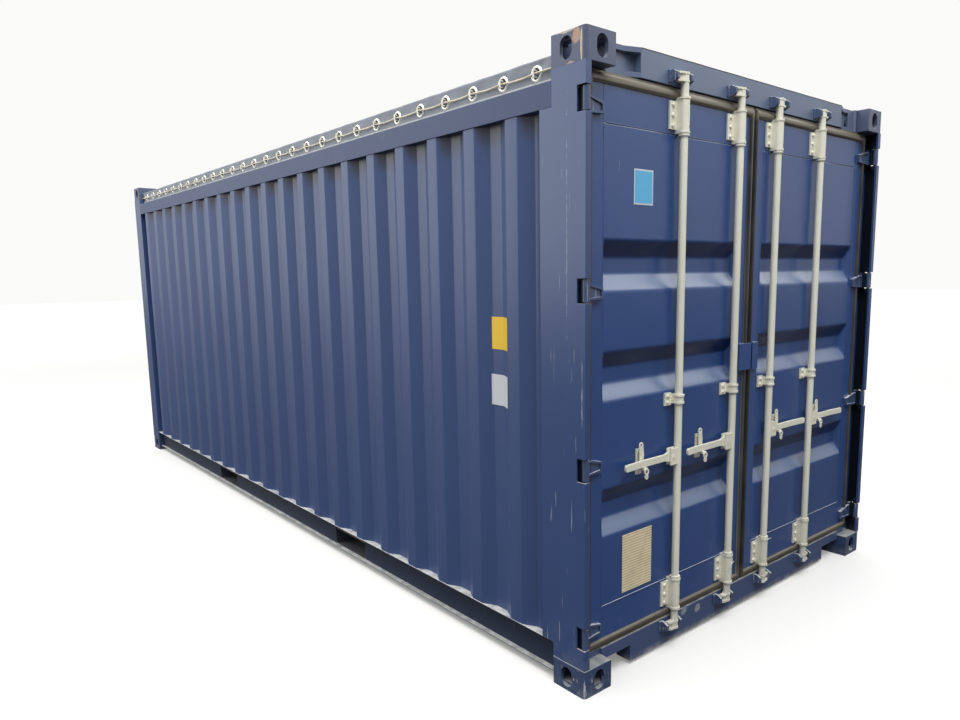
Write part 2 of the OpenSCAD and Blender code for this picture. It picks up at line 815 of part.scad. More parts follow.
// Forged hinge: knuckle, neck straight back from it, and a blade with a raised rim on the door
module hinge() {
    neck = 18;
    root = neck / 2 - 4;
    reach = blade_reach - pin_side;
    drop = knuckle_hgt / 2;
    rim = blade_rim;
    outline = [[-root, -drop], [-root, drop - 12], [reach / 3, drop - 14],
        [reach, blade_tip - drop + 8], [reach, 8 - drop]];
    inside = [[neck - 1, rim - drop], [neck - 1, drop - 12 - rim], [reach / 3, drop - 14 - rim],
        [reach - rim, blade_tip - drop + 10 - rim], [reach - rim, 8 - drop + rim]];
    translate([pin_x, -pin_y, -knuckle_hgt / 2]) linear_extrude(knuckle_hgt) difference() {
        union() {
            circle(r = knuckle_r);
            translate([leaf_x - pin_x, -neck / 2 + 4]) square([pin_x - leaf_x, neck]);
        }
        circle(r = pin_r + fit);
    }
    translate([leaf_x, -pin_y, 0]) rotate([90, 0, 90]) {
        linear_extrude(blade_t) polygon(outline);
        linear_extrude(blade_rib_t) difference() {
            polygon(outline);
            polygon(inside);
        }
        linear_extrude(blade_t + 3) translate([reach / 3, rim - drop]) square([reach / 4, blade_tip - 4]);
    }
}

module door_hinges() {
    color(blue) for (z = hinge_z) translate([0, 0, z]) hinge();
}

module left_door_hinges() {
    door_hinges();
}

module right_door_hinges() {
    mirror([0, 1, 0]) door_hinges();
}

// Bearing of a lock bar: a sleeve on a block, with a bolting plate on its left
module bar_guide(low, tall, plate_tall) {
    out = bar_r + guide_wall;
    ring = 9;
    translate([0, 0, low]) {
        difference() {
            union() {
                cylinder(r = out, h = tall);
                for (z = [0, tall - ring]) translate([0, 0, z]) cylinder(r = out + 3, h = ring);
                translate([-bar_out, -out, 0]) cube([bar_out, 2 * out, tall]);
            }
            translate([0, 0, -1]) cylinder(r = bar_r + fit, h = tall + 2);
        }
        translate([-bar_out, -out - guide_plate, (tall - plate_tall) / 2])
            cube([8, guide_plate, plate_tall]);
    }
}

// Handle retainer: a plate, a shelf under the handle and a pivot block above it
module retainer() {
    shelf = handle_z - handle_tip / 2 - 1;
    up = handle_z + catch_up;
    front = bar_x + 13;
    plate = 36;
    lobe = 15;
    tail = 11;
    translate([leaf_x, -plate / 2, handle_z - 50]) cube([6, plate, catch_up + 60]);
    translate([leaf_x, -10, shelf - 10]) cube([front - leaf_x, 20, 10]);
    translate([front, 0, shelf - lobe - 1]) rotate([90, 0, 90]) linear_extrude(5) difference() {
        union() {
            circle(r = lobe);
            translate([0, -2 * tail]) circle(r = tail);
        }
        circle(r = lobe - 8);
        translate([0, -2 * tail - 1]) circle(r = tail - 8);
    }
    translate([leaf_x, 0, up]) rotate([0, 90, 0]) cylinder(r = 9, h = catch_x - seat - leaf_x);
    translate([leaf_x, 0, up]) rotate([0, 90, 0]) cylinder(r = catch_pin, h = catch_x + catch_t - leaf_x);
}

module door_fittings(bars) {
    color(zinc) for (i = bars) {
        translate([bar_x, bar_y[i], 0]) {
            bar_guide(leaf_high - guide_edge - guide_hgt, guide_hgt, guide_hgt - 32);
            bar_guide(leaf_low + guide_edge, guide_hgt, guide_hgt - 32);
            bar_guide(guide_mid_z - guide_mid_hgt / 2, guide_mid_hgt, guide_mid_hgt + 16);
        }
        translate([0, bar_y[i] + bar_side[i] * catch_far[i], 0]) retainer();
    }
}

module left_door_fittings() {
    door_fittings([0, 1]);
}

module right_door_fittings() {
    door_fittings([2, 3]);
}

// Lock bar: a pipe with a cam at each end and a fork for its handle, drawn pointing to +Y
module lock_bar(i) {
    low = cam_low_z - cam_hgt / 2;
    high = cam_high_z + cam_hgt / 2;
    fork = handle_pivot + 20;
    collar = 10;
    flange = 9;
    color(zinc) translate([bar_x, bar_y[i], 0]) mirror([0, bar_side[i] > 0 ? 0 : 1, 0]) {
        translate([0, 0, low]) cylinder(r = bar_r, h = high - low);
        for (z = [low, high - cam_hgt]) translate([0, 0, z]) {
            linear_extrude(cam_hgt) polygon([[-9, 0], [9, 0], [9, cam_reach - 22], [-9, cam_reach - 8]]);
            for (up = [0, cam_hgt - flange]) translate([0, 0, up]) linear_extrude(flange) {
                polygon([[-11, 0], [14, 0], [14, cam_reach - 18], [4, cam_reach], [-11, cam_reach]]);
                circle(r = bar_r + 2);
            }
        }
        difference() {
            translate([-15, 0, handle_z - fork_hgt / 2]) cube([28, fork, fork_hgt]);
            translate([handle_x - bar_x - 1, bar_r + 0.5, handle_z - fork_hgt / 2 - 1])
                cube([handle_t + 2, fork, fork_hgt + 2]);
        }
        translate([-12, handle_pivot, handle_z]) rotate([0, 90, 0]) cylinder(r = rivet_r, h = 26);
        translate([13, handle_pivot, handle_z]) rotate([0, 90, 0]) cylinder(r = 10, h = 2);
        for (z = [leaf_low + guide_edge + guide_hgt + 1, leaf_high - guide_edge - guide_hgt - collar - 1])
            translate([0, 0, z]) cylinder(r = bar_r + 6, h = collar);
    }
}

module lock_bar_1() {
    lock_bar(0);
}

module lock_bar_2() {
    lock_bar(1);
}

module lock_bar_3() {
    lock_bar(2);
}

module lock_bar_4() {
    lock_bar(3);
}

// Handle: a flat bar on the fork's pin, drawn pointing to +Y, its end thinner and bent outward
module handle(i) {
    root = handle_hgt / 2;
    tip = handle_tip / 2;
    bend = handle_len - 110;
    color(zinc) translate([handle_x, bar_y[i], handle_z]) mirror([0, bar_side[i] > 0 ? 0 : 1, 0])
        intersection() {
            rotate([90, 0, 90]) linear_extrude(handle_t + handle_bend) difference() {
                union() {
                    translate([handle_pivot, 0]) circle(r = root);
                    polygon([[handle_pivot, -root], [handle_pivot + 25, -root], [handle_pivot + 50, -tip],
                        [handle_len - 6, -tip], [handle_len, 6 - tip], [handle_len, tip - 6],
                        [handle_len - 6, tip], [handle_pivot + 50, tip], [handle_pivot + 25, root],
                        [handle_pivot, root]]);
                }
                translate([handle_pivot, 0]) circle(r = rivet_r + fit);
            }
            translate([0, 0, -root - 1]) linear_extrude(handle_hgt + 2)
                polygon([[0, handle_pivot - root - 1], [handle_t, handle_pivot - root - 1],
                    [handle_t, bend], [handle_t + handle_bend, handle_len + 1],
                    [handle_bend, handle_len + 1], [0, bend]]);
        }
}

module handle_1() {
    handle(0);
}

module handle_2() {
    handle(1);
}

module handle_3() {
    handle(2);
}

module handle_4() {
    handle(3);
}

// Catch: a plate that hangs from the retainer's pin behind the handle, with the eye for the seal
module catch(i) {
    y = bar_y[i] + bar_side[i] * catch_far[i];
    color(zinc) translate([catch_x, y, handle_z + catch_up]) rotate([90, 0, 90])
        linear_extrude(catch_t) difference() {
            union() {
                translate([0, 24]) circle(r = 15);
                polygon([[-14, 24], [-12, -52], [-7, -60], [7, -60], [14, -52], [19, -20], [14, 24]]);
            }
            circle(r = catch_pin + fit);
            translate([0, 26]) circle(r = 5);
        }
}

module catch_1() {
    catch(0);
}

module catch_2() {
    catch(1);
}

module catch_3() {
    catch(2);
}

module catch_4() {
    catch(3);
}

bottom_castings();
top_castings();
rear_post_left();
rear_post_right();
front_posts();
bottom_rail_left();
bottom_rail_right();
top_rail_left();
top_rail_right();
side_wall_left();
side_wall_right();
front_end_wall();
front_header();
front_sill();
door_sill();
door_header();
header_brackets();
cross_members();
fork_pockets();
floor_boards();
tarp_cover();
roof_bows();
lacing_cable();
cable_staples();
cam_keepers();
left_door_frame();
left_door_panel();
left_door_seal();
left_door_hinges();
left_door_fittings();
right_door_frame();
right_door_panel();
right_door_seal();
right_door_hinges();
right_door_fittings();
lock_bar_1();
lock_bar_2();
lock_bar_3();
lock_bar_4();
handle_1();
handle_2();
handle_3();
handle_4();
catch_1();
catch_2();
catch_3();
catch_4();
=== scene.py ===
import json
import math

import bmesh
import bpy
import numpy as np
from mathutils import Matrix, Vector

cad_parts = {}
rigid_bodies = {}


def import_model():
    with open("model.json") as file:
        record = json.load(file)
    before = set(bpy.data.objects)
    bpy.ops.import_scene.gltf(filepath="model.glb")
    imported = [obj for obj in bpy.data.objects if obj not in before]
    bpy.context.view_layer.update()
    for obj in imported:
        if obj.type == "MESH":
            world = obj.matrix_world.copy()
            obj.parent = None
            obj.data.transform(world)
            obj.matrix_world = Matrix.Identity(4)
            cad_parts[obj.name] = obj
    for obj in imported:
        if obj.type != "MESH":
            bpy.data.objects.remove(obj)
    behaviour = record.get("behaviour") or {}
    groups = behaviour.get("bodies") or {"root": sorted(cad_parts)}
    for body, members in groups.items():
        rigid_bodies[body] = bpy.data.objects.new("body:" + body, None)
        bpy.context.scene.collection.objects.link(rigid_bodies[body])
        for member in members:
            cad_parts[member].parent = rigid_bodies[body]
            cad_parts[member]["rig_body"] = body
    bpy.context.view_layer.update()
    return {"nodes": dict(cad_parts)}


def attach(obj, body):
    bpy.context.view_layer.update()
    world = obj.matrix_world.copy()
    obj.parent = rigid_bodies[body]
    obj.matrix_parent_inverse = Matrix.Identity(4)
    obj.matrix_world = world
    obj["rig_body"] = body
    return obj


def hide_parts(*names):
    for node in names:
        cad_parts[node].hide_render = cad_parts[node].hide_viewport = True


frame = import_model()

# The viewpoint: a person's eye level, a few steps off the door corner. Place, turn and lens were
# solved from the edges of the corner castings, whose sizes and distances are standard.
EYE = Vector((4.9192, -3.2329, 1.7150))
YAW, PITCH, ROLL = (math.radians(a) for a in (140.056, -8.167, -0.849))
ahead = Vector((math.cos(YAW) * math.cos(PITCH), math.sin(YAW) * math.cos(PITCH), math.sin(PITCH)))
level = ahead.cross(Vector((0, 0, 1))).normalized()
above = level.cross(ahead)
side = level * math.cos(ROLL) + above * math.sin(ROLL)
top = above * math.cos(ROLL) - level * math.sin(ROLL)
camera = bpy.data.objects.new("viewpoint", bpy.data.cameras.new("viewpoint"))
camera.matrix_world = Matrix.Translation(EYE) @ Matrix((side, top, -ahead)).transposed().to_4x4()
camera.data.sensor_width = 36
camera.data.lens = 27.39
camera.data.shift_x, camera.data.shift_y = -0.0188, 0.0196
bpy.context.scene.collection.objects.link(camera)
bpy.context.scene.camera = camera
bpy.context.scene.view_settings.view_transform = "Standard"


# The yard: a pale floor under an even overcast sky. A wide soft lamp overhead is the clouds, lamps
# on the left and high before the doors show the sheets' relief, a weak one fills the right side,
# and the last is only mirrored in the slopes of the doors, as the bright low sky is.
def part_of_tree(tree, kind, links=(), **settings):
    """A shader node with its settings; links gives a value or another node's socket per input."""
    node = tree.nodes.new(kind)
    for name, value in settings.items():
        setattr(node, name, value)
    for name, value in dict(links).items():
        if isinstance(value, bpy.types.NodeSocket):
            tree.links.new(value, node.inputs[name])
        else:
            node.inputs[name].default_value = value
    return node


def maths(tree, operation, *values):
    """A number worked out from one or two others, each a plain number or a socket."""
    return part_of_tree(tree, "ShaderNodeMath", dict(enumerate(values)), operation=operation).outputs[0]


def ramp(tree, value, start, end, peak=1.0, **settings):
    """A ramp that climbs from 0 to peak while the value goes from start to end."""
    ends = {"Value": value, "From Min": start, "From Max": end, "To Max": peak}
    return part_of_tree(tree, "ShaderNodeMapRange", ends, **settings).outputs[0]


def blended(tree, amount, under, over):
    """A colour that goes from under to over as the amount goes from 0 to 1; each is a colour or
    the socket of one."""
    under, over = (c if isinstance(c, bpy.types.NodeSocket) else c + (1,) for c in (under, over))
    mixed = {0: amount, 6: under, 7: over}
    return part_of_tree(tree, "ShaderNodeMix", mixed, data_type="RGBA").outputs[2]


def own_place(tree):
    """The place on the piece, in the piece's own coordinates."""
    return part_of_tree(tree, "ShaderNodeTexCoord").outputs["Object"]


world = bpy.data.worlds.new("overcast")
bpy.context.scene.world = world
world.use_nodes = True
sky = world.node_tree
sky.nodes.clear()
rays = part_of_tree(sky, "ShaderNodeLightPath")
seen = maths(sky, "MAXIMUM", rays.outputs["Is Camera Ray"], rays.outputs["Is Glossy Ray"])
seen = maths(sky, "MAXIMUM", seen, rays.outputs["Is Transmission Ray"])
dim = part_of_tree(sky, "ShaderNodeBackground", {"Color": (0.84, 0.90, 1.0, 1), "Strength": 0.36})
white = part_of_tree(sky, "ShaderNodeBackground", {"Color": (0.96, 0.96, 0.95, 1), "Strength": 1.0})
either = part_of_tree(sky, "ShaderNodeMixShader", {0: seen, 1: dim.outputs[0], 2: white.outputs[0]})
part_of_tree(sky, "ShaderNodeOutputWorld", {"Surface": either.outputs[0]})


def soft_lamp(name, place, target, size, power, diffuse=True, gloss=True):
    """An area lamp of the given width and height at place that looks at target; it may add only
    diffuse light or gloss."""
    lamp = bpy.data.objects.new(name, bpy.data.lights.new(name, "AREA"))
    lamp.data.shape, lamp.data.energy = "RECTANGLE", power
    lamp.data.size, lamp.data.size_y = size
    lamp.location = place
    lamp.visible_diffuse, lamp.visible_glossy = diffuse, gloss
    turn = (Vector(target) - Vector(place)).to_track_quat("-Z", "Y")
    lamp.rotation_mode, lamp.rotation_quaternion = "QUATERNION", turn
    bpy.context.scene.collection.objects.link(lamp)


soft_lamp("lamp_clouds", (0.4, -2.5, 10.0), (0.4, -2.5, 0), (14.0, 14.0), 2000)
soft_lamp("lamp_left", (-9.0, -10.5, 5.5), (0, 0, 1.2), (10.0, 10.0), 690)
soft_lamp("lamp_right", (-3.0, 12.0, 6.0), (0, 0, 1.2), (8.0, 8.0), 330, gloss=False)
soft_lamp("lamp_doors", (8.2, -2.6, 9.8), (3, 0, 1.4), (5.0, 5.0), 640)
soft_lamp("lamp_low_sky", (7.6, 9.0, 8.8), (3, 0, 1.2), (8.2, 6.2), 420, diffuse=False)

# The eye sees the floor lit near the container and evenly white from FADE_END metres on; all other
# rays meet a dark floor, so that it throws little light back.
FADE_START, FADE_END, YARD_HALF = 5.0, 15.0, 60
ground_coat = bpy.data.materials.new("ground_coat")
ground_coat.use_nodes = True
tree = ground_coat.node_tree
shader = tree.nodes["Principled BSDF"]
direct = part_of_tree(tree, "ShaderNodeLightPath").outputs["Is Camera Ray"]
away = part_of_tree(tree, "ShaderNodeVectorMath", {0: own_place(tree)}, operation="LENGTH").outputs["Value"]
away = ramp(tree, away, FADE_START, FADE_END, interpolation_type="SMOOTHSTEP")
lit = blended(tree, away, (0.62, 0.61, 0.59), (0.02, 0.02, 0.02))
glow = blended(tree, away, (0.22, 0.22, 0.215), (0.94, 0.94, 0.93))
tree.links.new(blended(tree, direct, (0.08, 0.07, 0.06), lit), shader.inputs["Base Color"])
tree.links.new(blended(tree, direct, (0, 0, 0), glow), shader.inputs["Emission Color"])
shader.inputs["Emission Strength"].default_value = 1.0
shader.inputs["Roughness"].default_value = 0.9
corners = [(x * YARD_HALF, y * YARD_HALF, 0) for x, y in ((-1, -1), (1, -1), (1, 1), (-1, 1))]
ground = bpy.data.objects.new("ground", bpy.data.meshes.new("ground"))
ground.data.from_pydata(corners, [], [(0, 1, 2, 3)])
ground.data.materials.append(ground_coat)
bpy.context.scene.collection.objects.link(ground)


# The coats: every steel piece has the same navy top coat, sprayed at the works, thin on sharp
# edges, dulled by road dust near the ground and on ledges, and chipped to rust at the castings.
def axis_of(tree, vector, axis):
    """One of the three numbers of a vector."""
    return part_of_tree(tree, "ShaderNodeSeparateXYZ", {0: vector}).outputs[axis]


def facing_up(tree):
    """1 where the surface lies level and faces up, 0 where it stands, -1 where it faces down."""
    return axis_of(tree, part_of_tree(tree, "ShaderNodeNewGeometry").outputs["Normal"], "Z")


def stretched(tree, place, scale):
    """A place scaled along each axis, so that a pattern over it is drawn out or packed."""
    return part_of_tree(tree, "ShaderNodeMapping", {"Vector": place, "Scale": scale}).outputs[0]


def noise(tree, place, scale, detail, rough=0.5, distortion=0.0):
    """Cloudy values between 0 and 1 over a place."""
    values = {"Vector": place, "Scale": scale, "Detail": detail, "Roughness": rough, "Distortion": distortion}
    return part_of_tree(tree, "ShaderNodeTexNoise", values).outputs["Fac"]


def weathering():
    """Masks shared by all finishes: Tone varies slowly, Dust is splashed low down and lies on
    ledges that face up, Chips are flakes down to the metal, Scuffs are thin upright scratches,
    and Grain is the fine relief of the coat."""
    group = bpy.data.node_groups.new("weathering", "ShaderNodeTree")
    starts = {"Splash Height": 0.4, "Splash": 1.0, "Ledge": 0.5, "Chips": 0.2, "Scuffs": 0.3}
    for name, start in starts.items():
        made = group.interface.new_socket(name, in_out="INPUT", socket_type="NodeSocketFloat")
        made.default_value = start
    for name in ("Tone", "Dust", "Chips", "Scuffs", "Grain"):
        group.interface.new_socket(name, in_out="OUTPUT", socket_type="NodeSocketFloat")
    given = part_of_tree(group, "NodeGroupInput")
    place = own_place(group)

    def speckle(scale, detail, rough, stretch=(1, 1, 1)):
        return noise(group, stretched(group, place, stretch), scale, detail, rough)

    def span(value, low, high, to_low=0.0, to_high=1.0):
        return part_of_tree(group, "ShaderNodeMapRange", {"Value": value, "From Min": low, "From Max": high,
                            "To Min": to_low, "To Max": to_high}, interpolation_type="SMOOTHSTEP").outputs[0]

    def product(a, b):
        return maths(group, "MULTIPLY", a, b)

    def total(a, b):
        return maths(group, "ADD", a, b)

    def rest_of(whole, share):
        return maths(group, "SUBTRACT", whole, share)

    big, streak = speckle(0.8, 3, 0.5), speckle(1.0, 4, 0.6, (11, 11, 0.7))
    fine, flake = speckle(16, 6, 0.7), speckle(30, 7, 0.72)
    tone = total(product(big, 0.55), product(streak, 0.45))
    height = axis_of(group, place, "Z")
    near = rest_of(1.0, maths(group, "DIVIDE", height, given.outputs["Splash Height"]))
    near = product(span(near, 0.0, 1.0), span(fine, 0.36, 0.66))
    near = product(near, given.outputs["Splash"])
    ledge = product(span(facing_up(group), 0.45, 0.9), span(fine, 0.3, 0.62, 0.45, 1.0))
    dust = maths(group, "MAXIMUM", near, product(ledge, given.outputs["Ledge"]))
    edge = rest_of(0.76, product(given.outputs["Chips"], 0.24))
    flaked = product(ramp(group, flake, edge, total(edge, 0.02)), span(big, 0.38, 0.55))
    worn = rest_of(0.80, product(given.outputs["Scuffs"], 0.15))
    scratch = ramp(group, speckle(1.0, 3, 0.6, (110, 110, 3.2)), worn, total(worn, 0.02))
    grain = total(product(speckle(220, 2, 0.5), 0.25), product(speckle(7, 2, 0.5), 0.75))
    part_of_tree(group, "NodeGroupOutput", {"Tone": tone, "Dust": dust, "Chips": flaked, "Scuffs": scratch,
                                            "Grain": grain})
    return group


WEATHER = weathering()


def coat(name, colour, height=0.5, splash=0.2, ledge=0.5, chips=0.12, scuffs=0.3, rough=0.36, metal=0.0,
         bump=0.12, sheen=0.5, dust=(0.40, 0.38, 0.34), rust=(0.16, 0.055, 0.02), spread=0.16):
    """A finish: colour varied by tone, then dust, then pale scuffs, then rust under the flakes."""
    made = bpy.data.materials.new(name)
    made.use_nodes = True
    tree = made.node_tree
    shader = tree.nodes["Principled BSDF"]
    wear = part_of_tree(tree, "ShaderNodeGroup", node_tree=WEATHER)
    given = {"Splash Height": height, "Splash": splash, "Ledge": ledge, "Chips": chips, "Scuffs": scuffs}
    for socket, value in given.items():
        wear.inputs[socket].default_value = value
    dark, light = (tuple(c * (1 + s * spread) for c in colour) for s in (-1, 1))
    tint = blended(tree, wear.outputs["Tone"], dark, light)
    tint = blended(tree, wear.outputs["Dust"], tint, dust)
    if scuffs:
        tint = blended(tree, wear.outputs["Scuffs"], tint, (0.30, 0.32, 0.36))
    tint = blended(tree, wear.outputs["Chips"], tint, rust)
    tree.links.new(tint, shader.inputs["Base Color"])
    dull = maths(tree, "MAXIMUM", wear.outputs["Dust"], wear.outputs["Chips"])
    matt = part_of_tree(tree, "ShaderNodeMapRange", {"Value": dull, "To Min": rough, "To Max": 0.85})
    tree.links.new(matt.outputs[0], shader.inputs["Roughness"])
    relief = part_of_tree(tree, "ShaderNodeBump", {"Height": wear.outputs["Grain"], "Strength": bump,
                                                   "Distance": 0.004})
    tree.links.new(relief.outputs[0], shader.inputs["Normal"])
    shader.inputs["Metallic"].default_value = metal
    shader.inputs["Specular IOR Level"].default_value = sheen
    return made


def tinted(made, mask, colour):
    """A coat takes another colour, or the colour of a socket, where the mask is 1."""
    tree = made.node_tree
    base = tree.nodes["Principled BSDF"].inputs["Base Color"]
    tree.links.new(blended(tree, mask, base.links[0].from_socket, colour), base)


# The corner castings: eight hollow blocks of cast steel with slots for twist locks and lashing
# hooks, welded to the posts and rails. Ships' and cranes' gear has rubbed the near top one bare.
def softened(node, width, coating, segments=2):
    """A CAD node's own mesh, merged, with flat faces joined and made convex, and a bevel of the
    given width, because cast and folded steel has rounded edges that catch light."""
    source = frame["nodes"][node]
    edge_angle = math.radians(32)
    work = bmesh.new()
    work.from_mesh(source.data)
    bmesh.ops.remove_doubles(work, verts=work.verts, dist=1e-5)
    bmesh.ops.dissolve_limit(work, angle_limit=math.radians(0.5), verts=work.verts, edges=work.edges)
    bmesh.ops.connect_verts_concave(work, faces=work.faces[:])
    work.verts.ensure_lookup_table()
    work.verts.index_update()
    made = bpy.data.meshes.new(node + "_form")
    made.from_pydata([v.co[:] for v in work.verts], [], [[v.index for v in f.verts] for f in work.faces])
    work.free()
    made.polygons.foreach_set("use_smooth", np.ones(len(made.polygons), bool))
    made.set_sharp_from_angle(angle=edge_angle)
    made.materials.append(coating)
    piece = bpy.data.objects.new(node + "_finished", made)
    bpy.context.scene.collection.objects.link(piece)
    bevel = piece.modifiers.new("edges", "BEVEL")
    bevel.width, bevel.segments, bevel.limit_method = width, segments, "ANGLE"
    bevel.angle_limit, bevel.harden_normals = edge_angle, True
    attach(piece, source["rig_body"])
    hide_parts(node)
    return piece


def struck(made, centre, reach, tints, scale, edge):
    """A coat gets a struck spot: inside an ellipsoid round centre, noise above edge shows the
    two tints, mixed by a second noise."""
    tree = made.node_tree
    place = own_place(tree)
    far = part_of_tree(tree, "ShaderNodeVectorMath", {0: place, 1: centre}, operation="SUBTRACT")
    far = part_of_tree(tree, "ShaderNodeVectorMath", {0: far.outputs[0], 1: reach}, operation="DIVIDE")
    far = part_of_tree(tree, "ShaderNodeVectorMath", {0: far.outputs[0]}, operation="LENGTH")
    pattern = stretched(tree, place, scale)
    flecks = maths(tree, "SUBTRACT", noise(tree, pattern, 1.0, 5, 0.65), far.outputs["Value"])
    spot = blended(tree, ramp(tree, noise(tree, pattern, 2.7, 3), 0.42, 0.58), *tints)
    tinted(made, ramp(tree, flecks, edge, edge + 0.06), spot)


LEFT_FACE, END_FACE = -1.219, 3.029
BARE, CORNER_BARE = ((0.44, 0.46, 0.44), (0.24, 0.28, 0.35)), ((0.52, 0.54, 0.52), (0.34, 0.38, 0.42))
casting_coat = coat("navy_casting", (0.034, 0.058, 0.135), height=0.06, splash=0.35, ledge=0.9, chips=0.40,
                    scuffs=0.8, rough=0.5, bump=0.7, dust=(0.36, 0.37, 0.33), rust=(0.42, 0.43, 0.39),
                    spread=0.3)
struck(casting_coat, (3.0, -1.2, 0.06), (9, 9, 0.9), BARE, (60, 60, 26), 0.57)
for y in (LEFT_FACE, -LEFT_FACE):
    struck(casting_coat, (END_FACE, y, 0.050), (0.009, 0.009, 0.105), CORNER_BARE, (70, 70, 18), -0.28)
softened("bottom_castings", 0.005, casting_coat, 3)

top_casting_coat = coat("navy_top_casting", (0.064, 0.082, 0.150), height=0.2, splash=0, ledge=0.45,
                        chips=0.40, scuffs=0.9, rough=0.45, bump=0.6, rust=(0.30, 0.12, 0.045))
struck(top_casting_coat, (2.982, LEFT_FACE, 2.562), (0.045, 0.05, 0.070),
       ((0.50, 0.22, 0.09), (0.34, 0.33, 0.30)), (95, 95, 13), 0.08)
struck(top_casting_coat, (3.006, LEFT_FACE, 2.530), (0.010, 0.03, 0.120),
       ((0.66, 0.64, 0.44), (0.55, 0.42, 0.28)), (60, 60, 9), 0.04)
struck(top_casting_coat, (2.950, LEFT_FACE, 2.470), (0.050, 0.05, 0.024),
       ((0.52, 0.26, 0.12), (0.50, 0.47, 0.42)), (70, 70, 50), 0.06)
struck(top_casting_coat, (2.930, LEFT_FACE, 2.591), (0.110, 0.012, 0.016),
       ((0.50, 0.50, 0.46), (0.44, 0.34, 0.26)), (90, 90, 90), 0.02)
softened("top_castings", 0.005, top_casting_coat, 3)


# The posts: each rear post is an open channel of folded plate, outside, welded to a closed box,
# with lugs for the hinge pins in between. The front posts are plain. Straps have scratched them.
def deep_shade(made, x_low, x_high, y_low, y_high):
    """Painted shade: a coat turns nearly black inside a box, on both sides of the container alike:
    the mask is the product of four steep ramps over the way along and the distance from the middle."""
    tree = made.node_tree
    along = axis_of(tree, own_place(tree), "X")
    sideways = maths(tree, "ABSOLUTE", axis_of(tree, own_place(tree), "Y"))
    mask, steep = 1.0, 0.003
    for value, start, inwards in ((along, x_low, steep), (along, x_high, -steep),
                                  (sideways, y_low, steep), (sideways, y_high, -steep)):
        mask = maths(tree, "MULTIPLY", ramp(tree, value, start, start + inwards), mask)
    tinted(made, mask, (0.005, 0.008, 0.015))


NAVY, ROUND_EDGE = (0.038, 0.069, 0.180), 0.002
post_coat = coat("navy_posts", (0.032, 0.066, 0.180), height=0.4, splash=0.15, ledge=0.8, chips=0.12,
                 scuffs=0.8, rough=0.3)
struck(post_coat, (2.932, LEFT_FACE, 1.85), (0.008, 0.3, 2.2), ((0.24, 0.29, 0.38), (0.18, 0.22, 0.31)),
       (0.5, 0.5, 26), 0.33)
struck(post_coat, (3.012, LEFT_FACE, 1.30), (0.020, 0.05, 1.10), ((0.28, 0.33, 0.42), (0.18, 0.22, 0.31)),
       (70, 70, 9), 0.36)
struck(post_coat, (2.930, 0, 0.119), (0.6, 9, 0.0052), ((0.46, 0.50, 0.52), (0.30, 0.34, 0.38)),
       (30, 30, 30), -0.35)
# Painted shade inside the open channel and in the gap between post and door.
deep_shade(post_coat, 2.955, 3.020, 1.100, 1.214)
for node in ("rear_post_left", "rear_post_right"):
    softened(node, ROUND_EDGE, post_coat)
frame_coat = coat("navy_frame", NAVY, height=0.3, splash=0.10, ledge=0.55, chips=0.15, scuffs=0.5)
softened("front_posts", ROUND_EDGE, frame_coat)

# The side rails: folded steel along the foot and the top of each wall. The top one has the bent
# upstand that the tarpaulin is drawn over, and both carry pale dust on their ledges.
top_rail_coat = coat("navy_top_rail", (0.038, 0.062, 0.145), splash=0, ledge=1.0, chips=0.15, scuffs=0.6,
                     rough=0.5, sheen=0.4, dust=(0.54, 0.54, 0.52))
# The bottom rail's navy is painted much darker than the same paint elsewhere: painted shade, as its recessed
# web lies in shadow over the dark ground.
shaded_bottom_rail_coat = coat("navy_bottom_rail", (0.020, 0.031, 0.056), splash=0, ledge=1.0, chips=0.15, scuffs=0.5,
                 rough=0.5, sheen=0.25, dust=(0.52, 0.52, 0.50))
for hand in ("left", "right"):
    softened("top_rail_" + hand, 0.007, top_rail_coat, 3)
    softened("bottom_rail_" + hand, ROUND_EDGE, shaded_bottom_rail_coat)

# The headers and sills: box beams across both ends. The door sill is scuffed where loads come in,
# and the door header is held in its end brackets by pins.
header_coat = coat("navy_header", (0.104, 0.140, 0.226), splash=0, ledge=0.4, chips=0.12, scuffs=0.55,
                   rough=0.4)
for node in ("front_header", "door_header", "header_brackets"):
    softened(node, ROUND_EDGE, header_coat)
sill_coat = coat("navy_sill", (0.060, 0.090, 0.195), height=0.05, splash=1.0, ledge=0.9, chips=0.1,
                 rough=0.36, dust=(0.52, 0.50, 0.44))
for y, z in ((-0.482, 0.130), (-0.373, 0.108)):
    struck(sill_coat, (2.99, y, z), (0.04, 0.034, 0.034), ((0.34, 0.36, 0.37), (0.20, 0.23, 0.28)),
           (60, 60, 60), -0.25)
for node in ("front_sill", "door_sill"):
    softened(node, ROUND_EDGE, sill_coat)

# The cam keepers: forged hooks welded to the door header and sill, into which the cams of the lock
# bars turn. The cams have knocked most of the paint off them.
keeper_coat = coat("navy_keepers", (0.070, 0.100, 0.190), splash=0, ledge=0.9, chips=0.75, scuffs=1.2,
                   rough=0.45, bump=0.4, dust=(0.46, 0.48, 0.46), rust=(0.42, 0.44, 0.40), spread=0.3)
softened("cam_keepers", ROUND_EDGE, keeper_coat)


# The underside: pressed cross members that carry the floor, and two pockets for a lift truck's
# forks, painted once and then sprayed with mud for years.
def recoat(node, coating):
    """A CAD node that is shown as it is gets its finish."""
    form = frame["nodes"][node].data
    form.materials.clear()
    form.materials.append(coating)


under_coat = coat("navy_underside", (0.026, 0.034, 0.065), height=0.3, splash=0.5, ledge=0.4, chips=0.4,
                  rough=0.6, dust=(0.16, 0.14, 0.11))
for node in ("cross_members", "fork_pockets"):
    recoat(node, under_coat)
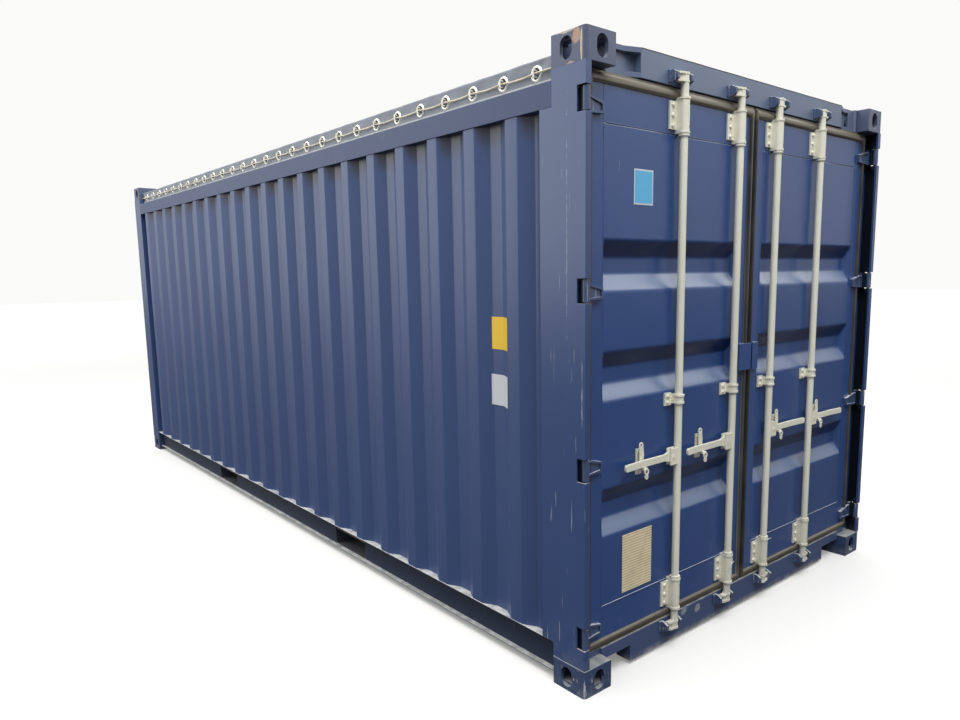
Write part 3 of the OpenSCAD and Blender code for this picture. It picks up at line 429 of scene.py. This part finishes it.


# The walls: 2 mm sheet pressed into trapezium waves and welded to rails and posts all round.
# The bends have the press tool's radius, and the flats are a little uneven as welding leaves them.
# The recesses under the top rail are painted dark near the top: a painted shadow of the rail's overhang.
def bent(corners, radius, steps=5):
    """A line of straight runs with every corner rounded: each corner becomes a curve that starts
    and ends a tangent's length away from it, in the directions of its two runs."""
    before, at, after = corners[:-2], corners[1:-1], corners[2:]
    into = (at - before) / np.linalg.norm(at - before, axis=1)[:, None]
    away = (after - at) / np.linalg.norm(after - at, axis=1)[:, None]
    turn = np.arccos(np.clip((into * away).sum(1), -1, 1))
    reach = (radius * np.tan(turn / 2))[:, None]
    first, last = at - into * reach, at + away * reach
    t = np.linspace(0, 1, steps)[None, :, None]
    rounded = (1 - t) ** 2 * first[:, None] + 2 * t * (1 - t) * at[:, None] + t ** 2 * last[:, None]
    return np.vstack([corners[:1], rounded.reshape(-1, 2), corners[-1:]])


def wave(length, count, depth, out, slope, inner):
    """Corners of a pressed wave along a length: the outer flats stand depth in front."""
    pitch = out + inner + 2 * slope
    start = (length - count * pitch + inner) / 2 + pitch * np.arange(count)[:, None]
    along = start + np.array([0, slope, slope + out, 2 * slope + out])
    across = np.broadcast_to([0, depth, depth, 0], along.shape)
    body = np.stack([along, across], -1).reshape(-1, 2)
    return np.vstack([[[0, 0]], body, [[length, 0]]])


def points_of(x, y, z):
    """Points from their three coordinates, each spread over the whole grid."""
    return np.stack(np.broadcast_arrays(x, y, z), -1)


def quads(rows, columns, wrap_rows=False, wrap_columns=False, flip=False):
    """Faces of a grid of rows by columns, joined round where a direction wraps."""
    r = np.arange(rows if wrap_rows else rows - 1)[:, None]
    c = np.arange(columns if wrap_columns else columns - 1)[None, :]
    r2, c2 = (r + 1) % rows, (c + 1) % columns
    corner = [r * columns + c, r * columns + c2, r2 * columns + c2, r2 * columns + c]
    faces = np.stack([np.broadcast_to(k, (r.size, c.size)) for k in corner], -1).reshape(-1, 4)
    return faces[:, ::-1] if flip else faces


def shape(name, points, faces, coating, body, smooth=True, wall=0.0, sharp=None, closed=False):
    """A piece from arrays of points and faces, on its body, with a wall thickness if one is given.
    The faces of a closed form are turned outwards."""
    made = bpy.data.meshes.new(name)
    made.from_pydata(np.asarray(points, float).reshape(-1, 3).tolist(), [],
                     faces.tolist() if hasattr(faces, "tolist") else faces)
    if closed:
        work = bmesh.new()
        work.from_mesh(made)
        bmesh.ops.recalc_face_normals(work, faces=work.faces)
        work.to_mesh(made)
        work.free()
    made.polygons.foreach_set("use_smooth", np.full(len(made.polygons), smooth))
    if sharp:
        made.set_sharp_from_angle(angle=math.radians(sharp))
    made.materials.append(coating)
    made.update()
    piece = bpy.data.objects.new(name, made)
    bpy.context.scene.collection.objects.link(piece)
    if wall:
        thick = piece.modifiers.new("wall", "SOLIDIFY")
        thick.thickness, thick.offset = wall, -1
    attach(piece, body)
    return piece


wall_coat = coat("navy_wall", NAVY, splash=0, ledge=0.95, scuffs=0.2, rough=0.42, dust=(0.50, 0.51, 0.52))
tree = wall_coat.node_tree
# Painted shadow: the recesses just under the top rail are darkened, as the rail's overhang shades them.
shaded_recess = ramp(tree, maths(tree, "ABSOLUTE", axis_of(tree, own_place(tree), "Y")), 1.214, 1.198)
rail_shadow = ramp(tree, axis_of(tree, own_place(tree), "Z"), 2.235, 2.320, 0.85)
tinted(wall_coat, maths(tree, "MULTIPLY", shaded_recess, rail_shadow), (0.026, 0.024, 0.026))

SHEET, BEND_RADIUS, LAST_ROW = 0.002, 0.016, 0.001
WALL_FRONT, WALL_REAR, WALL_LOW, WALL_HIGH, WALL_FLAT = -2.851, 2.785, 0.185, 2.336, 1.179
waves = wave(WALL_REAR - WALL_FRONT, count=20, depth=0.036, out=0.072, slope=0.068, inner=0.0705)
WALL_LINE = bent(waves, BEND_RADIUS)
rows = np.append(np.linspace(WALL_LOW, WALL_HIGH, 30), [WALL_LOW + LAST_ROW, WALL_HIGH - LAST_ROW])
z = np.unique(rows)[:, None]
x = WALL_FRONT + WALL_LINE[:, 0]
for hand, name in ((-1, "left"), (1, "right")):
    bow = 0.0012 * np.sin(z * 5.1) * np.sin(x * 3.7 + hand) * (z - WALL_LOW) * (WALL_HIGH - z)
    points = points_of(x, hand * (WALL_FLAT + WALL_LINE[:, 1] + bow), z)
    wall = shape("corrugated_wall_" + name, points, quads(*points.shape[:2], flip=hand > 0), wall_coat,
                 "container", wall=SHEET)
    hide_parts("side_wall_" + name)

END_WIDTH, END_WAVES, END_FLAT, END_LOW, END_HIGH = 2.262, 8, -2.972, 0.144, 2.420
pitch = END_WIDTH / (END_WAVES + 0.3)
waves = wave(END_WIDTH, END_WAVES, depth=0.045, out=pitch * 0.3, slope=pitch * 0.2, inner=pitch * 0.3)
line = bent(waves, BEND_RADIUS)
rows = np.append(np.linspace(END_LOW, END_HIGH, 20), [END_LOW + LAST_ROW, END_HIGH - LAST_ROW])
points = points_of(END_FLAT - line[:, 1], line[:, 0] - END_WIDTH / 2, np.unique(rows)[:, None])
wall = shape("corrugated_end_wall", points, quads(*points.shape[:2], flip=True), wall_coat, "container",
             wall=SHEET)
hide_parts("front_end_wall")


# The floor: planks of sealed marine plywood laid across the cross members, with the grain along
# the container.
plank = bpy.data.materials.new("plywood_floor")
plank.use_nodes = True
tree = plank.node_tree
shader = tree.nodes["Principled BSDF"]
grain = noise(tree, stretched(tree, own_place(tree), (0.8, 18, 18)), 3.0, 6, distortion=0.6)
tree.links.new(blended(tree, grain, (0.11, 0.06, 0.028), (0.30, 0.19, 0.10)), shader.inputs["Base Color"])
shader.inputs["Roughness"].default_value = 0.62
recoat("floor_boards", plank)


# The door leaves: one sheet each, pressed with three wide troughs whose ends are closed by slopes,
# welded into a frame of hollow sections. Dust lies on the slopes that face up, and these slopes are also
# painted paler as a painted reflection of the bright sky; slopes that face down are painted darker as painted
# shade.
LEAF_X, PANEL_IN, PANEL_OUT, PANEL_LOW, PANEL_HIGH = 2.967, 0.090, 1.055, 0.325, 2.284
TROUGHS, FLAT, SLOPE, DEEP = (0.729, 1.298, 1.742), 0.033, 0.069, 0.036
MARGIN, IN_SLOPE, OUT_SLOPE, SET_BACK = 0.004, 0.045, 0.020, 0.0002
door_coat = coat("navy_door", (0.026, 0.067, 0.212), height=0.4, splash=0.08, ledge=0.6, chips=0.0,
                 scuffs=0.25, rough=0.3)
facing = facing_up(door_coat.node_tree)
# Painted shade: slopes that face down are darkened, as the dark yard below gives them little light.
tinted(door_coat, ramp(door_coat.node_tree, facing, -0.10, -0.40), (0.005, 0.024, 0.105))
# Painted reflection: slopes that face up are painted a pale grey-blue, as they mirror the bright sky.
tinted(door_coat, ramp(door_coat.node_tree, facing, 0.20, 0.42, 0.8), (0.140, 0.188, 0.290))


def eased(t):
    """A ramp from 0 to 1 whose ends are a little rounded off."""
    t = np.clip(t, 0, 1)
    return 0.8 * t + 0.2 * t * t * (3 - 2 * t)


z = np.linspace(PANEL_LOW, PANEL_HIGH, 260)[:, None]
across = np.linspace(PANEL_IN, PANEL_OUT, 160)
ends = np.minimum((across - PANEL_IN - MARGIN) / IN_SLOPE, (PANEL_OUT - MARGIN - across) / OUT_SLOPE)
press = sum(eased(np.minimum((FLAT + SLOPE - abs(z - trough)) / SLOPE, ends)) for trough in TROUGHS)
for hand, name in ((-1, "left_door"), (1, "right_door")):
    uneven = 0.0006 * np.sin(z * 9) * np.sin(across * 11 + hand) * np.clip(ends, 0, 1)
    points = points_of(LEAF_X - SET_BACK - DEEP * press + uneven * (1 - press), hand * across, z)
    panel = shape(name + "_sheet", points, quads(*points.shape[:2], flip=hand < 0), door_coat, name,
                  wall=SHEET)
    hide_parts(name + "_panel")
    softened(name + "_frame", ROUND_EDGE, door_coat)

# The hinges: four forged blades to a leaf, welded to its frame, that turn on pins in the lugs of
# the rear posts. The blades lie in the shade of the posts' open channels.
hinge_coat = coat("navy_hinges", (0.050, 0.078, 0.165), height=0.3, splash=0.2, ledge=0.95, chips=0.3,
                  scuffs=1.0, rough=0.35, dust=(0.44, 0.46, 0.50), rust=(0.34, 0.37, 0.42))
# Painted shade behind the hinge knuckles, inside the posts' channels.
deep_shade(hinge_coat, 2.980, 3.011, 1.182, 1.230)
for node in ("left_door_hinges", "right_door_hinges"):
    softened(node, ROUND_EDGE, hinge_coat)


# The weld seams of the doors: a bead all round each sheet and across the frame's corners, thick
# at the foot of the sheet, where its upper side is pale with dust. Near the top the beads are painted dark,
# as painted shade.
def bead(start, end, radius, ripple):
    """Half a round rod laid along a straight seam on the door's face: the angle round the rod and
    the way along it are the two parameters, and the radius ripples with the welder's steps."""
    start, end = np.array(start), np.array(end)
    t = np.linspace(0, 1, max(8, int(np.linalg.norm(end - start) / 0.012)))
    a = np.linspace(0, math.pi, 7)[None, :, None]
    along = (end - start) / np.linalg.norm(end - start)
    outwards = np.array([1.0, 0, 0])
    across = np.cross(along, outwards)
    size = radius * (1 + ripple * np.sin(t * len(t) * 2.3)) * np.clip(np.minimum(t, 1 - t) * 60, 0.1, 1)
    centre = start + (end - start) * t[:, None]
    return centre[:, None] + size[:, None, None] * (np.cos(a) * across + 0.7 * np.sin(a) * outwards)


FRAME_LOW, FRAME_HIGH = 0.190, 2.430
weld_coat = coat("weld_seams", (0.032, 0.067, 0.205), splash=0, ledge=1.0, chips=0.0, scuffs=0, rough=0.35,
                 dust=(0.56, 0.60, 0.66))
tree = weld_coat.node_tree
# Painted shade: seams above 2.2 m are darkened, so the top bead and the upper ends of the side beads read
# dark.
tinted(weld_coat, ramp(tree, axis_of(tree, own_place(tree), "Z"), 2.20, 2.22, 0.85), (0.012, 0.026, 0.080))
for hand, name in ((-1, "left_door"), (1, "right_door")):
    out, near = hand * PANEL_OUT, hand * PANEL_IN
    seams = [((PANEL_LOW, out), (PANEL_LOW, near), 0.0036), ((PANEL_HIGH, out), (PANEL_HIGH, near), 0.0022),
             ((PANEL_LOW, out), (PANEL_HIGH, out), 0.0018), ((PANEL_LOW, near), (PANEL_HIGH, near), 0.0018),
             ((FRAME_LOW, out), (PANEL_LOW, out), 0.0014), ((PANEL_HIGH, out), (FRAME_HIGH, out), 0.0014)]
    points, faces, count = [], [], 0
    for (z0, y0), (z1, y1), radius in seams:
        grid = bead((LEAF_X, y0, z0), (LEAF_X, y1, z1), radius, 0.12)
        points.append(grid.reshape(-1, 3))
        faces.append(quads(*grid.shape[:2]) + count)
        count += grid.shape[0] * grid.shape[1]
    shape(name + "_welds", np.vstack(points), np.vstack(faces), weld_coat, name, closed=True)


# The door seals: extruded rubber clamped all round each leaf, a fat rounded bead on the face
# and a flat lip outwards, greyed and dusty.
def swept_frame(profile, low, high, inner, outer):
    """A profile of (inset, forward) points carried round a door's rectangle with mitred corners:
    each point's inset moves it from the outer edge towards the middle on all four sides."""
    inset, forward = profile[:, 0], profile[:, 1]
    y = np.stack([outer - inset, inner + inset, inner + inset, outer - inset])
    z = np.stack([low + inset, low + inset, high - inset, high - inset])
    return points_of(forward, y, z)


seal_coat = coat("seal_rubber", (0.030, 0.031, 0.033), splash=0, ledge=0.8, chips=0.0, scuffs=0, rough=0.42,
                 bump=0.3, dust=(0.20, 0.19, 0.15), spread=0.3)
tree = seal_coat.node_tree
height = axis_of(tree, own_place(tree), "Z")
film_at_top = ramp(tree, height, 2.405, 2.435, 0.95)
film_at_foot = ramp(tree, height, 0.235, 0.195, 0.55)
patches = ramp(tree, noise(tree, own_place(tree), 5.0, 4), 0.45, 0.75, 0.35)
faded = maths(tree, "MAXIMUM", maths(tree, "MAXIMUM", film_at_top, film_at_foot), patches)
tinted(seal_coat, faded, (0.150, 0.130, 0.092))

SEAL_LOW, SEAL_HIGH, SEAL_IN, SEAL_OUT, FACE, FOOT = 0.149, 2.469, 0.006, 1.150, 2.9672, 2.922
SEAL = np.array([[0, FOOT], [0, FACE], [0.009, FACE], [0.0092, 2.9705], [0.0105, 2.9735], [0.013, 2.9745],
                 [0.015, 2.9762], [0.018, 2.9785], [0.023, 2.9802], [0.029, 2.9808], [0.035, 2.9795],
                 [0.040, 2.9765], [0.043, 2.9725], [0.045, 2.9715], [0.046, FACE], [0.020, FACE],
                 [0.020, FOOT]])
inset, forward = SEAL[:, 0], SEAL[:, 1]
SEAL_WIDTH, HINGE_STRIP, MID_STRIP = inset.max(), 0.026, {"left_door": 0.039, "right_door": 0.012}
for hand, name in ((-1, "left_door"), (1, "right_door")):
    points = swept_frame(SEAL, SEAL_LOW, SEAL_HIGH, SEAL_IN, SEAL_OUT)
    points[1:3, :, 1] = SEAL_IN + inset * MID_STRIP[name] / SEAL_WIDTH
    points[(0, 3), :, 1] = SEAL_OUT - np.where(forward >= FACE, inset * HINGE_STRIP / SEAL_WIDTH, inset)
    points[:2, :, 2] = SEAL_LOW + np.where(inset > 0.020, 0.020 + (inset - 0.020) * 0.65, inset)
    points[..., 1] *= hand
    seal = shape(name + "_gasket", points, quads(4, len(SEAL), True, True, flip=hand > 0), seal_coat,
                 name, sharp=50, closed=True)
    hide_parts(name + "_seal")


# The lock gear: hot-dip galvanised bars, cams, guides, handles and retainers, with the cloudy
# spangle of zinc and a little dirt where hands and rain reach. Bolts hold the guides' flanges to
# the doors, and dark holes show in their sleeves.
def tube_faces(steps, sides, start=0):
    """The faces of a tube of that many rings, and one at each end; start is its first point."""
    last = start + (steps - 1) * sides
    ends = [list(range(first, first + sides)) for first in (start, last)]
    return (quads(steps, sides, wrap_columns=True) + start).tolist() + ends


def studs(name, centres, out, radius, height, coating, body):
    """Domed heads: a profile of four rings turned round each centre and standing along out."""
    out, sides = np.asarray(out, float), 10
    first = np.cross(out, [0, 0, 1.0])
    second = np.cross(out, first)
    a = np.linspace(0, 2 * math.pi, sides, endpoint=False)[:, None]
    rings = np.array([[1, 0], [1, 0.45], [0.75, 0.85], [0.3, 1.0]]) * (radius, height)
    head = rings[:, None, :1] * (np.cos(a) * first + np.sin(a) * second) + rings[:, None, 1:] * out
    points = np.asarray(centres, float)[:, None, None] + head
    faces = []
    for start in range(0, len(centres) * len(rings) * sides, len(rings) * sides):
        faces += tube_faces(len(rings), sides, start)
    return shape(name, points, faces, coating, body, smooth=False, closed=True)


zinc = coat("zinc_gear", (0.80, 0.79, 0.66), height=0.5, splash=0.35, ledge=0.5, chips=0.30, scuffs=0,
            rough=0.34, metal=0.08, bump=0.5, dust=(0.42, 0.39, 0.32), rust=(0.20, 0.17, 0.12), spread=0.3)
for node in ["left_door_fittings", "right_door_fittings"] + [
        kind % i for i in (1, 2, 3, 4) for kind in ("lock_bar_%d", "handle_%d", "catch_%d")]:
    softened(node, 0.0015, zinc)

BARS = {"left": (-0.590, -0.165), "right": (0.165, 0.590)}
FLANGE_FACE, FLANGE_BOLT, BAR_X, SLEEVE = LEAF_X + 0.008, 0.046, 2.999, 0.0216
BOLT_ROWS, HOLE_ROWS = (2.316, 2.358, 2.400, 0.218, 0.260, 0.302, 1.146, 1.174), (0.212, 0.300, 2.310, 2.402)
HOLE_TURN = (0.89, 0.456, 0)
# The holes are flat near-black discs on the sleeves: painted shade where the holes are.
dark = coat("shaded_hole", (0.015, 0.015, 0.016), splash=0, ledge=0.1, chips=0, scuffs=0, rough=0.7)
for name, pair in BARS.items():
    bolts = [(FLANGE_FACE, y - FLANGE_BOLT, z) for y in pair for z in BOLT_ROWS]
    studs(name + "_guide_bolts", bolts, (1, 0, 0), 0.0095, 0.007, zinc, name + "_door")
    holes = [(BAR_X + HOLE_TURN[0] * SLEEVE, y + HOLE_TURN[1] * SLEEVE, z) for y in pair for z in HOLE_ROWS]
    studs(name + "_guide_holes", holes, HOLE_TURN, 0.0045, 0.0007, dark, name + "_door")


# The roof: coated fabric drawn over the bows and down over the upstands, with a row of big
# metal eyelets that slip over the staples. It sags between bows and is puckered at the eyelets,
# and its hem is taped pale.
UPSTAND, EAVE, RISE, HEM, OFF_UPSTAND = 1.1733, 2.5383, 0.042, 2.446, 0.0035
STAPLE_PITCH, STAPLE_COUNT, RING_Z, HOLE = 0.202, 28, 2.488, 0.025
STAPLES = (np.arange(STAPLE_COUNT) - (STAPLE_COUNT - 1) / 2) * STAPLE_PITCH
TARP_END, FRONT_END, DOOR_END, BETWEEN_CASTINGS = 2.847, -3.0272, 2.8940, 1.0558


def from_staple(x):
    """The way along from the nearest staple, at most half a pitch to either side."""
    return (x - STAPLES[0] + STAPLE_PITCH / 2) % STAPLE_PITCH - STAPLE_PITCH / 2


# Lines across the cloth lie close at the eyelets and at the rolled ends, and wide in between.
near = np.concatenate([s + np.linspace(-0.04, 0.04, 11) for s in STAPLES])
gaps = np.concatenate([s + np.linspace(0.052, 0.150, 8) for s in STAPLES[:-1]])
tail = np.linspace(STAPLES[-1] + 0.05, TARP_END, 7)
ROLL, roll_steps = 0.003, np.array([0, 0.0005, 0.0015])
front = np.append(FRONT_END + roll_steps, np.linspace(FRONT_END + ROLL, -TARP_END - 0.002, 8))
rear = np.append(np.linspace(TARP_END + 0.002, DOOR_END - ROLL, 4), DOOR_END - roll_steps)
xs = np.unique(np.round(np.concatenate([front, -tail, near, gaps, tail, rear]), 5))

# Lines along it run up one skirt, over the crown, which is a parabola, and down the other skirt.
drop = np.linspace(HEM, EAVE, 16)
notch = BETWEEN_CASTINGS / UPSTAND
cross = np.unique(np.append(np.linspace(-1, 1, 49), [-notch, notch]))[1:-1]
skirt_y = np.full(drop.size, UPSTAND + OFF_UPSTAND)
ys = np.concatenate([-skirt_y, cross * UPSTAND, skirt_y])
zs = np.concatenate([drop, EAVE + RISE * (1 - cross ** 2), drop[::-1]])
lies = np.concatenate([0 * drop, 1 - cross ** 6, 0 * drop])
X, Y = np.meshgrid(xs, ys, indexing="ij")

# On the bows it lies 3 mm up; between two bows it sags as a parabola and is a little uneven, and
# its ends are rolled down over the headers.
FIRST_BOW, BOW_PITCH = -2.591, 2 * 2.591 / 8
at_bow = np.abs((X - FIRST_BOW) / BOW_PITCH % 1 - 0.5) * 2
free = np.clip((2.93 - np.abs(X)) / 0.3, 0, 1)
slack = np.sin(X * 7.3 + 2.1 * Y) * np.sin(Y * 6.1 - X * 1.7) + 0.6 * np.sin(X * 16.0 - Y * 5.0)
sag = free * (-0.016 * (1 - at_bow ** 2) + 0.0016 * (1 - at_bow ** 4) * slack)
Z = zs + lies * (0.0030 + sag)
past = np.minimum(X - FRONT_END, DOOR_END - X)
rolled = np.where(past < 0.0002, 2.528, Z - ROLL * np.clip(1 - past / ROLL, 0, 1) ** 2)
Z = np.where(lies > 0, rolled, Z)

# The skirts stand off in folds between the staples, and fine creases run out from each eyelet.
aside = from_staple(X)
skirt = (1 - lies) * (np.abs(Y) > UPSTAND)
loose = 1 + 1.4 * np.exp(-((TARP_END - np.abs(X)) / 0.16) ** 2)
pull = np.exp(-aside ** 2 / 0.0018)
fold = 0.0042 * (1 - pull) * (0.6 + 0.4 * np.sin(X * 17)) * np.clip((Z - HEM) / 0.09, 0.2, 1)
ray = np.arctan2(Z - RING_Z, aside) * 5 + np.round(X / STAPLE_PITCH) * 1.9
reach = np.hypot(aside, Z - RING_Z)
pucker = 0.0020 * np.sin(ray) * np.clip((reach - 0.030) / 0.02, 0, 1) * np.exp(-(reach / 0.085) ** 2)
Y = Y + np.sign(Y) * skirt * loose * np.clip(fold + pucker, 0, 0.006)

# Holes are left open for the eyelets, and the corners are cut out for the castings.
faces = quads(*X.shape, flip=True)
middle_x, middle_z = (values.reshape(-1)[faces].mean(1) for values in (X, Z))
beside = np.abs(Y).reshape(-1)[faces].max(1)
cut_out = (np.abs(middle_x) > TARP_END) & (beside > BETWEEN_CASTINGS + 0.001)
open_eye = np.hypot(from_staple(middle_x), middle_z - RING_Z) < HOLE
open_eye &= (np.abs(middle_x) < STAPLES[-1] + 0.05) & (skirt.reshape(-1)[faces].mean(1) > 0.5)

# The cloth is welded from lengths of 1.42 m, whose seams show as pressed double lines.
SEAM_PITCH, HEM_TAPE = 1.42, 2.4545
tarp_coat = coat("tarp_cloth", (0.185, 0.205, 0.245), height=0.3, splash=0, ledge=0.25, chips=0.0, scuffs=0,
                 rough=0.5, bump=0.4, sheen=0.5, dust=(0.36, 0.37, 0.36), spread=0.25)
tree = tarp_coat.node_tree
width = maths(tree, "PINGPONG", axis_of(tree, own_place(tree), "X"), SEAM_PITCH)
pressed = maths(tree, "MULTIPLY", ramp(tree, width, 0.020, 0.017), ramp(tree, width, 0.015, 0.018))
tinted(tarp_coat, pressed, (0.07, 0.08, 0.10))
taped = ramp(tree, axis_of(tree, own_place(tree), "Z"), HEM_TAPE + 0.001, HEM_TAPE - 0.001)
tinted(tarp_coat, taped, (0.48, 0.50, 0.50))
tarp = shape("tarpaulin", points_of(X, Y, Z), faces[~(open_eye | cut_out)], tarp_coat, "container",
             wall=0.0012)
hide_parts("tarp_cover")

# The eyelets: pressed rings of bright metal, 64 mm across, clenched through the cloth. They slip
# over galvanised staples on the upstands, and galvanised bows under the cloth hold it up.
RING_STEPS = 28
RIM = np.array([[0.0205, 0.0], [0.021, 0.003], [0.0245, 0.0052], [0.029, 0.0045], [0.032, 0.0015],
                [0.0325, 0.0]])
turn = np.linspace(0, 2 * math.pi, RING_STEPS, endpoint=False)[:, None]
ring = points_of(RIM[:, 0] * np.cos(turn), -RIM[:, 1], RIM[:, 0] * np.sin(turn))
spots = points_of(STAPLES, -UPSTAND - 0.0036, RING_Z)
rings = (ring + spots[:, None, None]).reshape(-1, 3)
start = (np.arange(STAPLE_COUNT) * ring[..., 0].size)[:, None, None]
faces = (quads(RING_STEPS, len(RIM), wrap_rows=True) + start).reshape(-1, 4)
both = np.vstack([rings, rings * (1, -1, 1)])
faces = np.vstack([faces, faces[:, ::-1] + len(rings)])
bright = coat("eyelet_metal", (0.66, 0.66, 0.60), splash=0, ledge=0.2, chips=0.05, scuffs=0, rough=0.3,
              metal=0.6, sheen=0.5, spread=0.1)
shape("eyelets", both, faces, bright, "container")
softened("cable_staples", 0.0008, zinc)
recoat("roof_bows", zinc)


# The lacing: one plastic-covered steel cable down each side, through every staple, hanging a
# little between them.
def rope(points, radius, sides=10):
    """A round section carried along a path: two directions across the path at each point give
    the circle's plane."""
    ahead = np.gradient(points, axis=0)
    ahead /= np.linalg.norm(ahead, axis=1)[:, None]
    first = np.cross(ahead, [0, 0, 1.0])
    first /= np.linalg.norm(first, axis=1)[:, None]
    second = np.cross(ahead, first)
    a = np.linspace(0, 2 * math.pi, sides, endpoint=False)[None, :, None]
    return points[:, None] + radius * (np.cos(a) * first[:, None] + np.sin(a) * second[:, None])


RUN_STEPS, CABLE_SIDES, CABLE_Y, CABLE_Z = 560, 10, 1.1880, 2.4880
cable_coat = coat("cable_sheath", (0.62, 0.56, 0.42), splash=0, ledge=0.2, chips=0.0, scuffs=0, rough=0.5,
                  bump=0.1)
run = np.linspace(-TARP_END, TARP_END, RUN_STEPS)
phase = (run - STAPLES[0]) / STAPLE_PITCH % 1
hang = np.where(np.abs(run) < STAPLES[-1], 4 * phase * (1 - phase), 0)
lines = [rope(points_of(run, hand * (CABLE_Y - 0.004 * hang), CABLE_Z - 0.005 * hang), 0.0038, CABLE_SIDES)
         for hand in (-1, 1)]
faces = tube_faces(RUN_STEPS, CABLE_SIDES) + tube_faces(RUN_STEPS, CABLE_SIDES, RUN_STEPS * CABLE_SIDES)
cable = shape("lacing", lines, faces, cable_coat, "container", sharp=60, closed=True)
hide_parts("lacing_cable")


# The ties: a white plastic strap drawn round bar 3 above its lower guide, with its tail standing
# off, and a longer one slung aslant round the lower guide of bar 2.
def tie(name, y, level, radius, slant, tail, body):
    """A loop round a bar: the angle turns once while the height rises with the way sideways, and
    then the tail runs straight off; the path carries a thin round section."""
    turned = np.linspace(0, 2 * math.pi, 48)[:, None]
    side_way = radius * np.sin(turned)
    loop = np.hstack([BAR_X + radius * np.cos(turned), y + side_way, level + slant * side_way])
    path = np.vstack([loop, loop[-1] + np.linspace(0.1, 1, 8)[:, None] * np.array(tail)])
    path[:, 0] += 0.0022 * np.clip(np.linspace(-1, 1, len(path)), 0, 1)
    sides = 6
    shape(name, rope(path, 0.0014, sides), tube_faces(len(path), sides), tie_coat, body, closed=True)


tie_coat = coat("tie_plastic", (0.70, 0.72, 0.70), splash=0, ledge=0.1, chips=0, scuffs=0, rough=0.35,
                bump=0.02)
tie("strap_bar_3", 0.165, 0.3255, 0.0192, 0.12, (0.006, 0.030, 0.006), "right_door")
tie("strap_bar_2", -0.165, 0.285, 0.0232, 1.5, (0.004, 0.012, 0.016), "left_door")

# The strip: a thin black round cord along the top edge of the door header, under the tarpaulin's end.
# It lies a little wavy.
STRIP_HALF, STRIP_STEPS, STRIP_SIDES = 0.843, 40, 8
strip_coat = coat("header_strip_black", (0.010, 0.011, 0.013), splash=0, ledge=0.3, chips=0, scuffs=0, rough=0.6,
                  bump=0.1)
run = np.linspace(-STRIP_HALF, STRIP_HALF, STRIP_STEPS)
tube = rope(points_of(2.9715, run, 2.5862 + 0.0003 * np.sin(run * 23)), 0.0042, STRIP_SIDES)
shape("header_strip", tube, tube_faces(STRIP_STEPS, STRIP_SIDES), strip_coat, "container", closed=True)


# The stickers: plain vinyl films pressed onto the wall and the left door, left without words or
# signs. The blue one lies on a paler film that shows as its border.
def film(name, colour, points, body):
    """A vinyl film over a grid of points that face outwards."""
    made = coat(name + "_vinyl", colour, splash=0, ledge=0.2, chips=0.0, scuffs=0.1, rough=0.4, bump=0.05,
                spread=0.05)
    shape(name, points, quads(*points.shape[:2]), made, body)


def wall_film(name, colour, x0, x1, z0, z1):
    """A film on the left wall: its points follow the wave's line, far enough in front of it to
    clear the unevenness of the sheet."""
    x = np.linspace(x0, x1, 24)
    y = -WALL_FLAT - np.interp(x, WALL_FRONT + WALL_LINE[:, 0], WALL_LINE[:, 1]) - 0.0018
    film(name, colour, points_of(x, y, np.linspace(z0, z1, 6)[:, None]), "container")


def door_film(name, colour, y0, y1, z0, z1, forward):
    """A film on the flat of the left door, that far in front of it."""
    y, z = np.linspace(y0, y1, 3), np.linspace(z0, z1, 3)[:, None]
    film(name, colour, points_of(LEAF_X + forward, y, z), "left_door")


wall_film("height_sticker", (0.84, 0.54, 0.02), 2.434, 2.575, 1.388, 1.530)
wall_film("square_sticker", (0.62, 0.65, 0.68), 2.430, 2.570, 1.138, 1.276)
door_film("sticker_border", (0.62, 0.68, 0.75), -0.872, -0.750, 1.985, 2.126, 0.0009)
door_film("blue_sticker", (0.11, 0.46, 0.75), -0.866, -0.756, 1.992, 2.119, 0.0013)

# The data plate: bare aluminium sheet on four rivets, low on the left door, dull and brown with
# splashed dirt, with fine rows where the stamping is.
plate_metal = coat("plate_metal", (0.88, 0.76, 0.50), height=1.2, splash=0.4, ledge=0.3, chips=0.1, scuffs=0,
                   rough=0.5, metal=0.1, bump=0.3, sheen=0.5, dust=(0.36, 0.29, 0.20), spread=0.12)
tree = plate_metal.node_tree
rows = {"Vector": own_place(tree), "Scale": 26.0}
rows = part_of_tree(tree, "ShaderNodeTexWave", rows, bands_direction="Z").outputs["Fac"]
tinted(plate_metal, ramp(tree, rows, 0.80, 0.96), (0.40, 0.33, 0.23))
PLATE_X, PLATE_Y, PLATE_Z = (LEAF_X + 0.0002, LEAF_X + 0.0018), (-0.922, -0.726), (0.348, 0.605)
RIVET_IN = 0.008
plate = [(x, y, z) for x in PLATE_X for y in PLATE_Y for z in PLATE_Z]
box_faces = [(0, 1, 3, 2), (4, 6, 7, 5), (0, 4, 5, 1), (2, 3, 7, 6), (0, 2, 6, 4), (1, 5, 7, 3)]
shape("data_plate", plate, box_faces, plate_metal, "left_door", smooth=False, closed=True)
rivets = [(PLATE_X[1], y, z) for y in (PLATE_Y[0] + RIVET_IN, PLATE_Y[1] - RIVET_IN)
          for z in (PLATE_Z[0] + RIVET_IN, PLATE_Z[1] - RIVET_IN)]
studs("plate_rivets", rivets, (1, 0, 0), 0.0035, 0.0022, plate_metal, "left_door")
